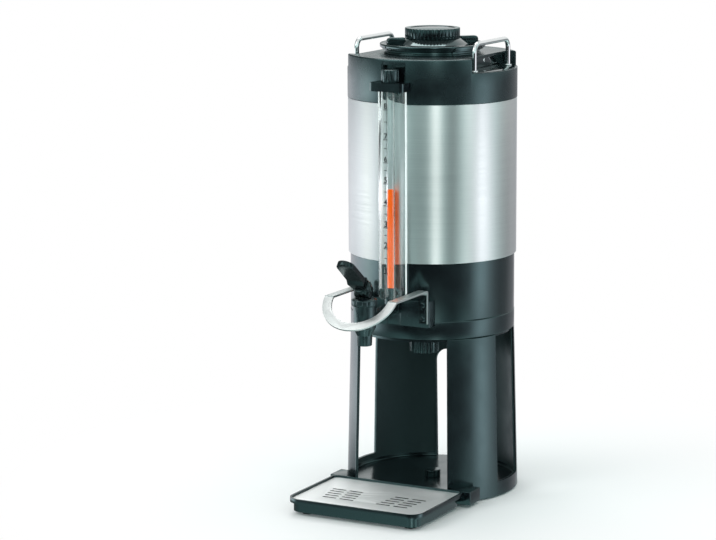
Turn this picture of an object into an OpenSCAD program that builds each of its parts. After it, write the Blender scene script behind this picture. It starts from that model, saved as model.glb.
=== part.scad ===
// Insulated beverage dispenser: a steel-jacketed vessel with a screw lid, a sight gauge
// and a guarded lever faucet, clamped to a windowed stand that carries a drip tray.
// Millimetres, +Z up, origin on the surface below the centre of the stand, faucet towards -Y.

/* [Vessel] */
// Outer radius of the steel jacket
body_r = 115; // [105:0.5:130]
// Sheet thickness of the steel jacket
jacket_t = 0.8; // [0.6:0.1:1.2]
// Height of the steel jacket
jacket_h = 212.5; // [170:0.5:260]
// How far the lower cup stands in from the jacket
cup_inset = 2.5; // [1:0.5:8]
// Height of the lower cup
cup_h = 79; // [74:0.5:95]
// Wall of the lower cup
cup_wall = 3; // [2.5:0.5:4]
// Floor of the lower cup
cup_floor = 4; // [3:0.5:5]
// Height of the rings that enter the jacket at both ends
spigot_h = 8; // [5:0.5:12]
// Thickness of the insulating foam at the side
foam_t = 10; // [6:0.5:16]
// Thickness of the insulating foam below the vessel
foam_floor = 12; // [8:0.5:20]
// Sheet thickness of the inner vessel
vessel_t = 1.2; // [0.8:0.1:2]
// Inner radius of the vessel's neck
neck_r = 58.8; // [50:0.2:64]

/* [Top shell] */
// How far the top shell stands out from the jacket
shell_proud = 0.4; // [0.2:0.1:3]
// Height of the top shell above the jacket
shell_h = 59.5; // [52:0.5:75]
// Wall of the top shell
shell_wall = 3; // [2.5:0.5:4]
// Depth of the two handle notches below the shell's top
notch_depth = 19; // [12:0.5:24]
// Distance of the notch's upright wall inside the jacket radius
notch_inset = 35; // [33:0.5:38]
// Length of a handle notch, front to back
notch_len = 136; // [124:1:150]
// Diameter of the handle wire
handle_d = 6.5; // [5:0.5:8]
// Distance between the two legs of a handle
handle_span = 104; // [80:1:108]
// Height of the handle bar's centre above the notch floor
handle_h = 37; // [28:0.5:50]
// Bend radius of the handle wire
handle_bend = 12; // [8:0.5:18]

/* [Lid] */
// Radius of the lid's flange
lid_r = 71.5; // [68:0.5:76]
// Thickness of the lid's flange
flange_t = 7.2; // [5:0.2:10]
// Radius of the lid's cone at its foot
cone_r = 48; // [44:0.5:54]
// Height of the lid's cone
cone_h = 6; // [4:0.5:10]
// Radius of the knurled cap
cap_r = 37.4; // [34:0.2:40]
// Height of the knurled cap
cap_h = 14; // [10:0.5:18]
// Number of grooves in the cap's side
cap_grooves = 40; // [24:1:48]
// Height of the lid's two grip ears above the flange
ear_h = 8; // [5:0.5:12]
// Direction of the grip ears, from the right towards the back
ear_angle = 45; // [0:1:90]
// Height of the neck ring below the lid
neck_ring_h = 5.5; // [4:0.5:8]
// Depth of the stopper below the shell's top
stopper_depth = 28; // [24:0.5:36]
// Rise of the pouring plug over the cap's turn
plug_rise = 4; // [2:0.5:5]

/* [Stand] */
// How far the rubber feet stand out below the stand
foot_proud = 1.5; // [1:0.1:4]
// Height of the stand's legs
leg_h = 225; // [200:1:260]
// How much wider the stand is at its lower edge than at its collar
leg_flare = 5.7; // [2:0.1:10]
// Wall of the stand
stand_wall = 4; // [3:0.5:5]
// How far the collar stands in from the jacket
collar_inset = 2.2; // [1:0.1:3]
// Height of the collar on top of the legs
collar_h = 24.5; // [18:0.5:32]
// Thickness of the deck inside the collar
deck_t = 5; // [4:0.5:8]
// Half angle of the front opening
front_half = 37; // [33:0.5:40]
// Angle from the front to the near edge of a side window
side_from = 76; // [70:1:80]
// Angle from the front to the far edge of a side window
side_to = 108; // [100:1:112]
// Height of the side windows' sill above the stand's lower edge
sill_h = 20; // [16:0.5:30]
// Half width of the rear window
rear_half = 46; // [30:0.5:50]
// Height of the rear window's top above the stand's lower edge
rear_top = 166; // [120:1:190]
// Radius of the rear window's upper corners
rear_corner = 16; // [4:0.5:22]
// Height of the space below the stand's floor plate
floor_gap = 4; // [3:0.5:6]
// Thickness of the stand's floor plate
floor_t = 4; // [3:0.5:6]
// Distance of the clamp nut in front of the stand's axis
clamp_y = 25; // [20:0.5:32]
// Radius of the clamp nut
clamp_r = 20; // [16:0.5:24]
// Height of the clamp nut
clamp_h = 34; // [24:0.5:40]
// Radius of the centre foot
centre_r = 11; // [8:0.5:14]

/* [Drip tray] */
// Half width of the tray over its rim
tray_half = 100; // [92:0.5:108]
// Length of the tray over its rim
tray_len = 137.5; // [126:0.5:160]
// Height of the tray's rim above its underside
tray_h = 18.5; // [17:0.5:26]
// Height of the tray's underside above the surface
tray_lift = 5; // [3:0.5:6]
// Wall of the tray
tray_wall = 2.5; // [2:0.5:3.5]
// Height of the tray's outer lip
lip_h = 6.2; // [5:0.2:8]
// Width by which the lip stands out from the tray's body
lip_out = 5; // [4:0.5:7]
// Radius of the rim's front corners
tray_corner = 20; // [12:0.5:28]
// Radius of the rim's back corners
back_corner = 10; // [6:0.5:20]
// Thickness of the drip grid's sheet
grid_t = 1.2; // [0.8:0.1:2]
// Depth of the drip grid's top below the rim
grid_drop = 3; // [2:0.5:4]
// Length of one slot in the grid
slot_len = 21; // [12:0.5:22]
// Width of one slot in the grid
slot_w = 3.2; // [2:0.1:4.5]
// Spacing of the slot rows
slot_pitch = 10.2; // [7:0.1:12]
// Number of slot rows
slot_rows = 5; // [3:1:7]
// Outward step of each slot row towards the back
slot_splay = 1.75; // [0:0.25:2.5]
// Distance from the middle of the tray to the inner slots
slot_from = 17; // [12:0.5:18]
// Distance between the inner and the outer slots
slot_gap = 5; // [3:0.5:5.5]
// Width of a tray bracket
bracket_w = 32; // [24:0.5:38]
// Depth of a tray bracket
bracket_depth = 31.5; // [26:0.5:40]
// Width by which the brackets stand out beside the tray
bracket_out = 7.5; // [0:0.5:10]
// Height of a tray bracket
bracket_h = 18; // [14:0.5:20]
// Radius of the pegs that carry the tray's back
peg_r = 3; // [2:0.25:3.5]

/* [Faucet] */
// Distance of the faucet's axis in front of the jacket
faucet_reach = 82; // [74:0.5:95]
// Height of the faucet shank's axis above the lower cup's underside
shank_rise = 18; // [16.5:0.25:19.5]
// Outer radius of the faucet shank
shank_r = 8; // [7:0.25:8.5]
// Bore radius of the faucet shank
shank_bore = 5.5; // [4:0.25:6]
// Radius of the faucet's body
faucet_r = 15; // [14:0.25:16.5]
// Outer radius of the spout
spout_r = 9.8; // [8:0.2:12]
// Bore radius of the spout
spout_bore = 6; // [5:0.25:6.5]
// Length of the faucet from the shank's axis down to the spout's mouth
spout_drop = 36; // [30:0.5:44]
// Radius of the bonnet
bonnet_r = 17; // [16.5:0.25:20]
// Height of the bonnet
bonnet_h = 9.5; // [9:0.25:12]
// Height of the bonnet's top above the shank's axis
bonnet_rise = 27.5; // [27:0.25:31]
// Forward lean of the lever in the drawn position
lever_lean = 52; // [40:1:58]
// Length of the lever from its pin
lever_len = 74; // [60:1:90]
// Width of the lever's paddle
lever_w = 24; // [18:0.5:28]
// Radius of the lever's pin
pin_r = 2; // [1.5:0.25:2.25]
// Wire diameter of the valve spring
spring_wire = 1.3; // [1:0.1:1.5]
// Number of turns of the valve spring
spring_turns = 5; // [4:1:6]
// Half width of the faucet housing
housing_half = 54; // [50:0.5:58]
// Distance of the housing's front face outside the jacket radius
housing_proud = 1.75; // [0:0.25:3]
// Height of the housing above the lower cup's underside
housing_top = 30; // [28:0.5:36]
// Drop of the housing below the lower cup's underside
housing_drop = 5; // [2:0.5:8]
// Half width of the slot in the housing
slot_half = 9.6; // [9.5:0.1:12]

/* [Faucet guard] */
// Sheet thickness of the guard
guard_t = 2.5; // [1.5:0.25:3]
// Width of the guard's strip
guard_w = 12.5; // [10:0.5:15]
// Outer radius of the guard's ring
guard_r = 53; // [46:0.5:53]
// Slope of the guard's ring below the level
guard_slope = 40; // [25:1:50]
// Length of the guard's arms from the housing to the ring
guard_arm = 90.5; // [74:0.5:95]
// Height of the guard's arms above the housing
guard_rise = 16; // [12:0.5:20]
// Spacing of the two screws in each guard tab
guard_pitch = 19; // [14:0.5:20]

/* [Sight gauge] */
// Distance of the gauge tube's axis in front of the jacket
gauge_out = 8; // [8:0.25:10]
// Outer radius of the gauge tube
tube_r = 5.5; // [4.5:0.25:6]
// Wall of the gauge tube
tube_wall = 1.25; // [1:0.25:2]
// Outer radius of the gauge shield
shield_r = 20; // [18:0.5:23]
// Wall of the gauge shield
shield_wall = 2; // [1.5:0.25:3]
// Half width of the gauge bracket
gauge_half = 25; // [21:0.5:28]
// Thickness of the gauge bracket
gauge_bracket_t = 11.5; // [10:0.5:16]
// Distance of the gauge bracket's top below the shell's top
gauge_down = 29.5; // [27:0.5:31]
// Radius of the gauge cap
gauge_cap_r = 12; // [11:0.25:13]
// Height of the gauge cap
gauge_cap_h = 17; // [12:0.5:19]

/* [Clearances] */
// Running clearance of pins and guides, on the radius
run_gap = 0.05; // [0.02:0.01:0.1]
// Clearance between pieces that move past each other
free_gap = 0.4; // [0.3:0.05:0.6]
// Clearance between pieces that are assembled and stay
fit_gap = 0.15; // [0.1:0.05:0.3]

/* [Hidden] */
$fn = 96;

// Colours
BLACK = [0.11, 0.12, 0.125];
SATIN = [0.16, 0.17, 0.175];
STEEL = [0.78, 0.79, 0.80];
CHROME = [0.86, 0.87, 0.88];
RUBBER = [0.06, 0.06, 0.065];
FOAM = [0.88, 0.82, 0.62];
CLEAR = [0.85, 0.92, 0.94, 0.35];
SEAL = [0.72, 0.72, 0.70];

// Levels of the stand
z_base = foot_proud;
z_floor = z_base + floor_gap + floor_t;
z_collar = z_base + leg_h;
z_cup = z_collar + collar_h;
collar_r = body_r - collar_inset;
foot_r = collar_r + leg_flare;
cup_r = body_r - cup_inset;
z_deck = z_collar + 2;
clamp_washer_t = 2;
z_clamp = z_deck - clamp_washer_t - clamp_h;

// Levels of the vessel
z_jacket = z_cup + cup_h;
z_shell = z_jacket + jacket_h;
z_top = z_shell + shell_h;
shell_r = body_r + shell_proud;
spigot_r = body_r - jacket_t - fit_gap;
foam_r = spigot_r - cup_wall - fit_gap;
vessel_r = foam_r - foam_t;
shelf_t = 3;
z_shelf = z_jacket + 0.5 + shelf_t;
z_vessel = z_shelf + foam_floor;
z_shoulder = z_shell - 8;
z_neck = z_shell + 24;
notch_x = body_r - notch_inset;
z_ledge = z_top - notch_depth;
handle_nut_r = handle_d / 2 + 4.8;
handle_y = handle_span / 2;
handle_r = spigot_r - shell_wall - free_gap - handle_nut_r;
handle_x = sqrt(pow(handle_r, 2) - pow(handle_y, 2));

// Levels of the lid
neck_out = neck_r + vessel_t;
neck_ring_r = neck_out + 6;
z_lid = z_top + neck_ring_h + 0.3;
z_flange = z_lid + flange_t;
z_cone = z_flange + cone_h;
z_cap = z_cone + free_gap;
z_cap_top = z_cap + cap_h;
stopper_r = neck_r - 3.4;
seal_r = 2.3;
seal_at = neck_r - free_gap - seal_r;
z_stopper_top = z_lid + flange_t / 2;
hub_r = 30;
cone_top_r = cap_r + 0.6;
plug_r = 10;
plug_pin_r = 8;
plug_channel_r = 14;
plug_seat_r = 8;
plug_seal_t = 4;
z_plug_seat = z_top - stopper_depth + 8;
z_plug_guide = z_plug_seat + plug_seal_t + plug_rise + 15;
z_plug_shoulder = z_cap + 0.6;
z_plug_pin = z_cap_top - 4;

// Places of the faucet and the gauge
faucet_y = -(body_r + faucet_reach);
z_shank = z_cup + shank_rise;
z_spout = z_shank - spout_drop;
z_bonnet_top = z_shank + bonnet_rise;
z_bonnet = z_bonnet_top - bonnet_h;
z_seat = z_shank - 8;
chamber_r = faucet_r - 4;
bonnet_neck_r = faucet_r - 2;
bonnet_cover = 5;
stem_r = 3;
cam_e = 5.5;
cam_angle = 30;
cam_r = 5.7;
valve_lift = cam_e * (cos(cam_angle) - cos(cam_angle + lever_lean));
z_pin = z_bonnet_top + cam_e * cos(cam_angle) + cam_r + free_gap;
seat_h = 9;
seat_r = chamber_r - 1;
z_seat_cup = z_seat + 0.3 + valve_lift;
yoke_half = 4;
hub_half = 11;
housing_y = -(body_r + housing_proud);
web_t = 1.2;
shank_tail = 28;
guard_screw_len = 12;
bracket_screw_len = 14;
pad_r = shank_r + 5.3;
pad_y = -(cup_r - cup_wall - 2.5);
pad_len = sqrt(pow(cup_r - 0.6, 2) - pow(pad_r, 2)) + pad_y;
washer_t = 2;
nut_t = 6;
web_y = -(cup_r + fit_gap + web_t);
gauge_y = -(body_r + gauge_out);
boss_r = tube_r + 3;
shank_in = 2.5;
z_socket = z_shank + 19;
z_socket_top = z_socket + 11;
z_gauge = z_top - gauge_down;
z_gauge_under = z_gauge - gauge_bracket_t;
gauge_neck_r = tube_r + 3;
z_gauge_neck = z_gauge + gauge_cap_h - 6;
liner_t = 1;
shield_y = -(body_r - 0.5);
z_shield = z_socket - 5;

// Places of the guard
guard_x = guard_r - guard_w / 2;
z_arm = z_cup + housing_top + guard_rise;
guard_bend_y = housing_y - guard_arm;
guard_lap = 0.25;
z_guard_screw = z_cup + housing_top - 4;

// Places of the tray
tray_back = -(foot_r * cos(front_half) + 6.4);
tray_front = tray_back - tray_len;
z_rim = tray_lift + tray_h;
z_grid = z_rim - grid_drop;
z_grid_seat = z_grid - grid_t;
z_lip = z_rim - lip_h;
body_half = tray_half - lip_out;
well_half = body_half - tray_wall;
grid_inset = tray_wall + free_gap;
grid_half = tray_half - grid_inset;
bracket_x = tray_half + bracket_out - bracket_w / 2;
peg_x = body_half - 9.5;
peg_z = tray_lift + 7.5;
stand_front = tray_back + 1.6;
bracket_front = tray_back + 0.8;
bracket_az = asin(min(0.95, bracket_x / foot_r));
body_corner = tray_corner - lip_out;

// Shapes used by several pieces

// Ring with a bore, standing on z = 0
module tube(r_out, r_in, h) {
    difference() {
        cylinder(r = r_out, h = h);
        translate([0, 0, -1]) cylinder(r = r_in, h = h + 2);
    }
}

// Rod that runs from y towards the front
module rod_y(r, y, len) {
    translate([0, y, 0]) rotate([90, 0, 0]) cylinder(r = r, h = len);
}

// Rectangle from (x0, y0) to (x1, y1) with round corners
module round_rect(x0, y0, x1, y1, r) {
    translate([x0 + r, y0]) square([x1 - x0 - 2 * r, y1 - y0]);
    translate([x0, y0 + r]) square([x1 - x0, y1 - y0 - 2 * r]);
    for (x = [x0 + r, x1 - r], y = [y0 + r, y1 - r]) translate([x, y]) circle(r = r);
}

// Slice of a cake between two angles from the front, positive towards the right
module wedge(from, to, r, h) {
    step = (to - from) / 4;
    linear_extrude(h)
        polygon(concat([[0, 0]], [for (a = [from:step:to + step / 2]) [r * sin(a), -r * cos(a)]]));
}

// Row of upright grooves round a knob
module grooves(r, count, groove_r, h) {
    for (i = [0:count - 1]) rotate(i * 360 / count) translate([r, 0, 0]) cylinder(r = groove_r, h = h, $fn = 20);
}

// Screw along +Z with a domed head at its lower end
module screw(r, len, head_r, head_h) {
    cylinder(r = r, h = len, $fn = 32);
    translate([0, 0, -head_h]) cylinder(r = head_r, h = head_h, $fn = 40);
}

// Stand

module stand_shell() {
    color(BLACK) difference() {
        union() {
            rotate_extrude() polygon([[foot_r - stand_wall, z_base], [foot_r, z_base],
                [collar_r, z_collar], [collar_r - stand_wall, z_collar]]);
            translate([0, 0, z_base + floor_gap]) cylinder(r = foot_r - stand_wall / 2, h = floor_t);
        }
        translate([0, 0, z_floor]) wedge(-front_half, front_half, 2 * foot_r, leg_h);
        for (s = [-1, 1]) translate([0, 0, z_base + sill_h])
            wedge(s * side_from, s * side_to, 2 * foot_r, leg_h);
        translate([0, 2 * foot_r, 0]) rotate([90, 0, 0]) linear_extrude(1.5 * foot_r) {
            round_rect(-rear_half, z_floor + rear_corner, rear_half, z_base + rear_top, rear_corner);
            translate([-rear_half, z_floor]) square([2 * rear_half, 3 * rear_corner]);
        }
        translate([-foot_r, stand_front - 2 * foot_r, -1]) cube([2 * foot_r, 2 * foot_r, z_floor + 2]);
        translate([0, 0, -1]) cylinder(r = 5 + fit_gap, h = z_floor + 2);
        for (s = [-1, 1]) rotate(s * bracket_az) translate([0, 0, z_floor + 6])
            rod_y(2.1, -foot_r / 2, foot_r);
    }
}

module stand_collar() {
    color(BLACK) difference() {
        union() {
            translate([0, 0, z_collar]) tube(collar_r, collar_r - stand_wall, collar_h);
            translate([0, 0, z_deck]) cylinder(r = collar_r - stand_wall / 2, h = deck_t);
            translate([0, 0, z_collar - 4])
                tube(collar_r - stand_wall - fit_gap, collar_r - 2 * stand_wall, z_deck - z_collar + 5);
        }
        translate([0, -clamp_y, z_collar]) cylinder(r = 6 + fit_gap, h = collar_h);
    }
}

module stand_feet() {
    color(RUBBER) for (a = [50, 131, 229, 310]) rotate(a)
        translate([0, -(foot_r - stand_wall - 12), 0]) cylinder(r = 9, h = z_base + floor_gap);
}

// Foot on the stand's axis, with a stud through the floor plate
module centre_foot() {
    color(RUBBER) {
        cylinder(r = centre_r, h = z_base + floor_gap);
        cylinder(r = 5, h = z_floor + 8);
    }
}

module foot_knob() {
    color(BLACK) translate([0, 0, z_floor]) difference() {
        cylinder(r = centre_r, h = 10);
        translate([0, 0, -1]) cylinder(r = 5 + run_gap, h = 9.2);
        translate([0, 0, -1]) grooves(centre_r + 0.6, 16, 1.2, 12);
    }
}

module clamp_stud() {
    color(STEEL) translate([0, -clamp_y, 0]) {
        translate([0, 0, z_clamp + 8]) cylinder(r = 6, h = z_cup + cup_floor - z_clamp - 8);
        translate([0, 0, z_cup + cup_floor]) cylinder(r = 9, h = 4, $fn = 6);
    }
}

module clamp_washer() {
    color(STEEL) translate([0, -clamp_y, z_clamp + clamp_h]) tube(clamp_r - 4, 6 + run_gap, clamp_washer_t);
}

module clamp_nut() {
    color(SATIN) translate([0, -clamp_y, z_clamp]) difference() {
        cylinder(r = clamp_r, h = clamp_h);
        translate([0, 0, 2]) cylinder(r = 6 + run_gap, h = clamp_h);
        translate([0, 0, -1]) grooves(clamp_r + 0.8, 24, 1.8, clamp_h + 2);
    }
}

// Drip tray

module bracket_hole() {
    translate([0, 0, z_floor + 6]) rod_y(2, -foot_r / 2, foot_r / 2 + 10);
}

module tray_brackets() {
    color(BLACK) for (s = [-1, 1]) difference() {
        union() {
            translate([s * bracket_x - bracket_w / 2, bracket_front, z_rim - bracket_h - 1])
                cube([bracket_w, bracket_depth, bracket_h]);
            translate([s * peg_x, 0, peg_z]) rod_y(peg_r, bracket_front + 1, 2 * peg_r + 1);
        }
        cylinder(r1 = foot_r + fit_gap, r2 = collar_r + fit_gap, h = z_collar);
        rotate(s * bracket_az) bracket_hole();
    }
}

module bracket_screws() {
    color(STEEL) for (s = [-1, 1]) rotate(s * bracket_az)
        translate([0, -(foot_r - stand_wall - 1.5), z_floor + 6]) rotate([90, 0, 0]) screw(1.95, bracket_screw_len, 3.6, 2.4);
}

// Outline of the rim, or of what lies inside it by the inset
module tray_outline(half, front, back, inset) {
    round_rect(-half, front, half, back, tray_corner - inset);
    round_rect(-half, (front + back) / 2, half, back, back_corner - inset);
}

module drip_tray() {
    color(BLACK) difference() {
        union() {
            translate([0, 0, tray_lift]) linear_extrude(tray_h - lip_h + 1)
                round_rect(-body_half, tray_front + lip_out, body_half, tray_back - 3, body_corner);
            translate([0, 0, z_lip]) linear_extrude(lip_h)
                tray_outline(tray_half, tray_front, tray_back, 0);
        }
        translate([0, 0, tray_lift + tray_wall]) linear_extrude(tray_h)
            round_rect(-well_half, tray_front + lip_out + tray_wall, well_half, tray_back - 3 - tray_wall,
                body_corner - tray_wall);
        translate([0, 0, z_grid_seat]) linear_extrude(tray_h)
            tray_outline(tray_half - tray_wall, tray_front + tray_wall, tray_back - tray_wall, tray_wall);
        for (s = [-1, 1]) {
            translate([s * peg_x, 0, peg_z]) rod_y(peg_r + free_gap, tray_back + 5, 16);
            translate([s * body_half, tray_back - 13, peg_z + 1]) rotate([0, 90, 0])
                cylinder(r = 2.5, h = tray_wall, center = true);
        }
    }
}

module tray_feet() {
    color(RUBBER) for (s = [-1, 1], y = [tray_front + 24, tray_back - 30])
        translate([s * (body_half - 18), y, 0]) cylinder(r = 8, h = tray_lift);
}

// One slot of the grid, from x towards the right
module grid_slot(x, y) {
    translate([x + slot_w / 2, y - slot_w / 2]) square([slot_len - slot_w, slot_w]);
    for (e = [slot_w / 2, slot_len - slot_w / 2]) translate([x + e, y]) circle(d = slot_w, $fn = 24);
}

module drip_grid() {
    slot_y = (tray_front + tray_back) / 2 - (slot_rows - 1) / 2 * slot_pitch - 9;
    color(STEEL) translate([0, 0, z_grid_seat]) difference() {
        linear_extrude(grid_t) tray_outline(grid_half, tray_front + grid_inset, tray_back - grid_inset, grid_inset);
        translate([0, 0, -1]) linear_extrude(grid_t + 2)
            for (k = [0:slot_rows - 1], j = [0, 1], s = [0, 1]) mirror([s, 0])
                grid_slot(slot_from + j * (slot_len + slot_gap) + k * slot_splay, slot_y + k * slot_pitch);
    }
}

// Vessel

module lower_cup() {
    in_r = cup_r - cup_wall;
    z_step = z_jacket + 0.5;
    color(BLACK) difference() {
        union() {
            rotate_extrude() polygon([[0, z_cup], [cup_r, z_cup], [cup_r, z_step], [spigot_r, z_step],
                [spigot_r, z_step + spigot_h], [spigot_r - cup_wall, z_step + spigot_h],
                [spigot_r - cup_wall, z_shelf], [cup_r - 26, z_shelf], [cup_r - 26, z_step],
                [in_r, z_step], [in_r, z_cup + cup_floor], [0, z_cup + cup_floor]]);
            translate([0, 0, z_shank]) rod_y(pad_r, pad_y, pad_len);
        }
        translate([0, 0, z_shank]) rod_y(shank_r + fit_gap, -cup_r / 2, cup_r);
        translate([0, -clamp_y, z_cup - 1]) cylinder(r = 6 + fit_gap, h = cup_floor + 2);
    }
}

module outer_jacket() {
    color(STEEL) translate([0, 0, z_jacket]) tube(body_r, body_r - jacket_t, jacket_h);
}

// Outline of the vessel, used for the sheet and for the hollow in the foam
module vessel_outline(grow) {
    polygon([[0, z_vessel - grow], [shank_r + 1 + grow, z_vessel - grow], [vessel_r + grow, z_vessel + 6 - grow],
        [vessel_r + grow, z_shoulder], [neck_out + grow, z_neck], [neck_out + grow, z_top + neck_ring_h],
        [0, z_top + neck_ring_h]]);
}

module insulation() {
    color(FOAM) difference() {
        translate([0, 0, z_shelf]) cylinder(r = foam_r, h = z_shell - spigot_h - z_shelf - fit_gap);
        rotate_extrude() vessel_outline(fit_gap);
        translate([0, 0, z_shelf - 1]) cylinder(r = shank_r + 2 + fit_gap, h = foam_floor + 2);
    }
}

module inner_vessel() {
    color(STEEL) difference() {
        union() {
            rotate_extrude() vessel_outline(0);
            translate([0, 0, z_shelf]) cylinder(r = shank_r + 2, h = foam_floor + 1);
        }
        rotate_extrude() polygon([[0, z_vessel + vessel_t], [shank_r, z_vessel + vessel_t],
            [vessel_r - vessel_t, z_vessel + 6 + vessel_t], [vessel_r - vessel_t, z_shoulder - vessel_t / 2],
            [neck_r, z_neck - vessel_t / 2], [neck_r, z_top + neck_ring_h + 1], [0, z_top + neck_ring_h + 1]]);
        translate([0, 0, z_shelf - 1]) cylinder(r = shank_r + run_gap, h = foam_floor + 6);
    }
}

// Elbow from the vessel's outlet to the faucet shank
module outlet_pipe() {
    end_y = -(cup_r - 20);
    color(STEEL) difference() {
        union() {
            translate([0, 0, z_shank]) cylinder(r = shank_r, h = z_vessel - z_shank - 1);
            translate([0, 0, z_shank]) sphere(r = shank_r);
            translate([0, 0, z_shank]) rod_y(shank_r, 0, -end_y);
            translate([0, 0, z_shank]) rod_y(shank_r + 1.5, end_y + 12, 12);
        }
        translate([0, 0, z_shank]) cylinder(r = shank_r - 1.5, h = z_vessel - z_shank + 1);
        translate([0, 0, z_shank]) sphere(r = shank_r - 1.5);
        translate([0, 0, z_shank]) rod_y(shank_r - 1.5, 0, -end_y - 6);
        translate([0, 0, z_shank]) rod_y(shank_r + run_gap, end_y + 10, 12);
    }
}

// Top shell and handles

// The two side notches, grown on every inner face
module notches(grow, z) {
    for (s = [-1, 1]) translate([s * (notch_x - grow + shell_r) - shell_r, -notch_len / 2 - grow, z])
        cube([2 * shell_r, notch_len + 2 * grow, 2 * notch_depth]);
}

// Recess behind the gauge cap
module gauge_niche(grow) {
    half = gauge_cap_r + 6 + grow;
    translate([-half, -2 * shell_r, z_gauge - grow])
        cube([2 * half, 2 * shell_r - (-gauge_y - gauge_cap_r - 3.5) + grow, gauge_cap_h + 5 + 2 * grow]);
}

module top_shell() {
    color(SATIN) difference() {
        union() {
            translate([0, 0, z_shell]) cylinder(r = shell_r, h = shell_h);
            translate([0, 0, z_shell - spigot_h]) cylinder(r = spigot_r, h = spigot_h + 1);
        }
        notches(0, z_ledge);
        gauge_niche(0);
        difference() {
            translate([0, 0, z_shell - spigot_h - 1])
                cylinder(r = spigot_r - shell_wall, h = shell_h + spigot_h + 1 - shell_wall);
            notches(shell_wall, z_ledge - shell_wall);
            gauge_niche(shell_wall);
        }
        translate([0, 0, z_shell]) cylinder(r = neck_out + fit_gap, h = 2 * shell_h);
        for (s = [-1, 1], t = [-1, 1]) {
            translate([s * handle_x, t * handle_y, z_ledge - 2 * shell_wall])
                cylinder(d = handle_d + 2 * fit_gap, h = 4 * shell_wall);
            translate([s * notch_x - 0.9, t * notch_len / 4 - notch_len / 4 + 8, z_ledge + 4])
                cube([1.8, notch_len / 2 - 16, notch_depth - 8]);
        }
    }
}

module neck_ring() {
    color(BLACK) translate([0, 0, z_top]) tube(neck_ring_r, neck_out + fit_gap, neck_ring_h);
}

// Wire bail in the plane x = 0, legs down through the notch floor
module bail() {
    leg_low = z_ledge - shell_wall - 9;
    bar_z = z_ledge + handle_h;
    for (t = [-1, 1]) {
        translate([0, t * handle_y, leg_low]) cylinder(d = handle_d, h = bar_z - handle_bend - leg_low);
        translate([0, t * (handle_y - handle_bend), bar_z - handle_bend]) rotate([90, 0, t * 90])
            rotate_extrude(angle = 90) translate([handle_bend, 0]) circle(d = handle_d, $fn = 40);
    }
    translate([0, 0, bar_z]) rod_y(handle_d / 2, handle_y - handle_bend, handle_span - 2 * handle_bend);
}

module handle_left() {
    color(CHROME) translate([-handle_x, 0, 0]) bail();
}

module handle_right() {
    color(CHROME) translate([handle_x, 0, 0]) bail();
}

module at_handle_legs(z) {
    for (s = [-1, 1], t = [-1, 1]) translate([s * handle_x, t * handle_y, z]) children();
}

module handle_bushings() {
    color(CHROME) at_handle_legs(z_ledge) tube(handle_d / 2 + 2, handle_d / 2 + fit_gap, 2.5);
}

module handle_nuts() {
    color(STEEL) at_handle_legs(z_ledge - shell_wall - 5) difference() {
        cylinder(r = handle_nut_r, h = 5, $fn = 6);
        translate([0, 0, -1]) cylinder(d = handle_d + 2 * run_gap, h = 7);
    }
}

// Lid

module lid_stopper() {
    color(BLACK) difference() {
        rotate_extrude() polygon([[0, z_top - stopper_depth], [stopper_r - 4, z_top - stopper_depth],
            [stopper_r, z_top - stopper_depth + 4], [stopper_r, z_stopper_top],
            [hub_r, z_stopper_top], [hub_r, z_cone], [0, z_cone]]);
        translate([0, 0, z_top - stopper_depth - 1]) cylinder(r = plug_seat_r, h = stopper_depth);
        translate([0, 0, z_plug_seat]) cylinder(r = plug_channel_r, h = z_plug_guide - z_plug_seat);
        translate([0, 0, z_plug_seat]) cylinder(r = plug_r + run_gap, h = z_cone);
        translate([0, 0, z_top - 8]) rotate_extrude() translate([seal_at, 0]) circle(r = seal_r + run_gap, $fn = 40);
    }
}

module stopper_seal() {
    color(SEAL) translate([0, 0, z_top - 8]) rotate_extrude() translate([seal_at, 0]) circle(r = seal_r, $fn = 40);
}

// Turning flange with a cone and two grip ears
module lid_flange() {
    color(BLACK) difference() {
        union() {
            rotate_extrude() polygon([[hub_r + run_gap, z_stopper_top + free_gap],
                [stopper_r + free_gap, z_stopper_top + free_gap], [stopper_r + free_gap, z_lid],
                [lid_r - 2.5, z_lid], [lid_r - 2.5, z_lid + 2], [lid_r, z_lid + 2],
                [lid_r, z_flange], [cone_r, z_flange], [cone_top_r, z_cone], [hub_r + run_gap, z_cone]]);
            rotate(ear_angle) for (s = [0, 1]) rotate(180 * s) translate([0, 0, z_flange - 1]) {
                translate([cone_r - 8, -4, 0]) cube([lid_r - cone_r + 1, 8, ear_h - 3]);
                translate([cone_r - 8, -4, 0]) cube([lid_r - cone_r - 3, 8, ear_h + 1]);
                translate([lid_r - 11, 4, ear_h - 3]) rotate([90, 0, 0]) cylinder(r = 4, h = 8);
            }
        }
        translate([0, 0, z_cone]) cylinder(r = cap_r + 2, h = ear_h + cap_h);
    }
}

module lid_cap() {
    color(BLACK) difference() {
        rotate_extrude() polygon([[0, z_cap], [cap_r - 1, z_cap], [cap_r, z_cap + 1], [cap_r, z_cap_top - 1.5],
            [cap_r - 1.5, z_cap_top], [cap_r - 6, z_cap_top], [cap_r - 7, z_cap_top - 1], [0, z_cap_top - 1]]);
        translate([0, 0, z_cap - 1]) cylinder(r = plug_r + free_gap, h = z_plug_shoulder - z_cap + 1 + free_gap);
        translate([0, 0, z_cap]) cylinder(r = plug_pin_r + run_gap, h = z_plug_pin - z_cap + free_gap);
        translate([0, 0, z_cap - 1]) grooves(cap_r + 0.7, cap_grooves, 1.7, cap_h + 2);
    }
}

module pouring_plug() {
    color(BLACK) {
        translate([0, 0, z_plug_seat + free_gap / 2 + plug_seal_t])
            cylinder(r = plug_r, h = z_plug_shoulder - z_plug_seat - free_gap / 2 - plug_seal_t);
        translate([0, 0, z_plug_shoulder - 1]) cylinder(r = plug_pin_r, h = z_plug_pin - z_plug_shoulder + 1);
    }
}

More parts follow.
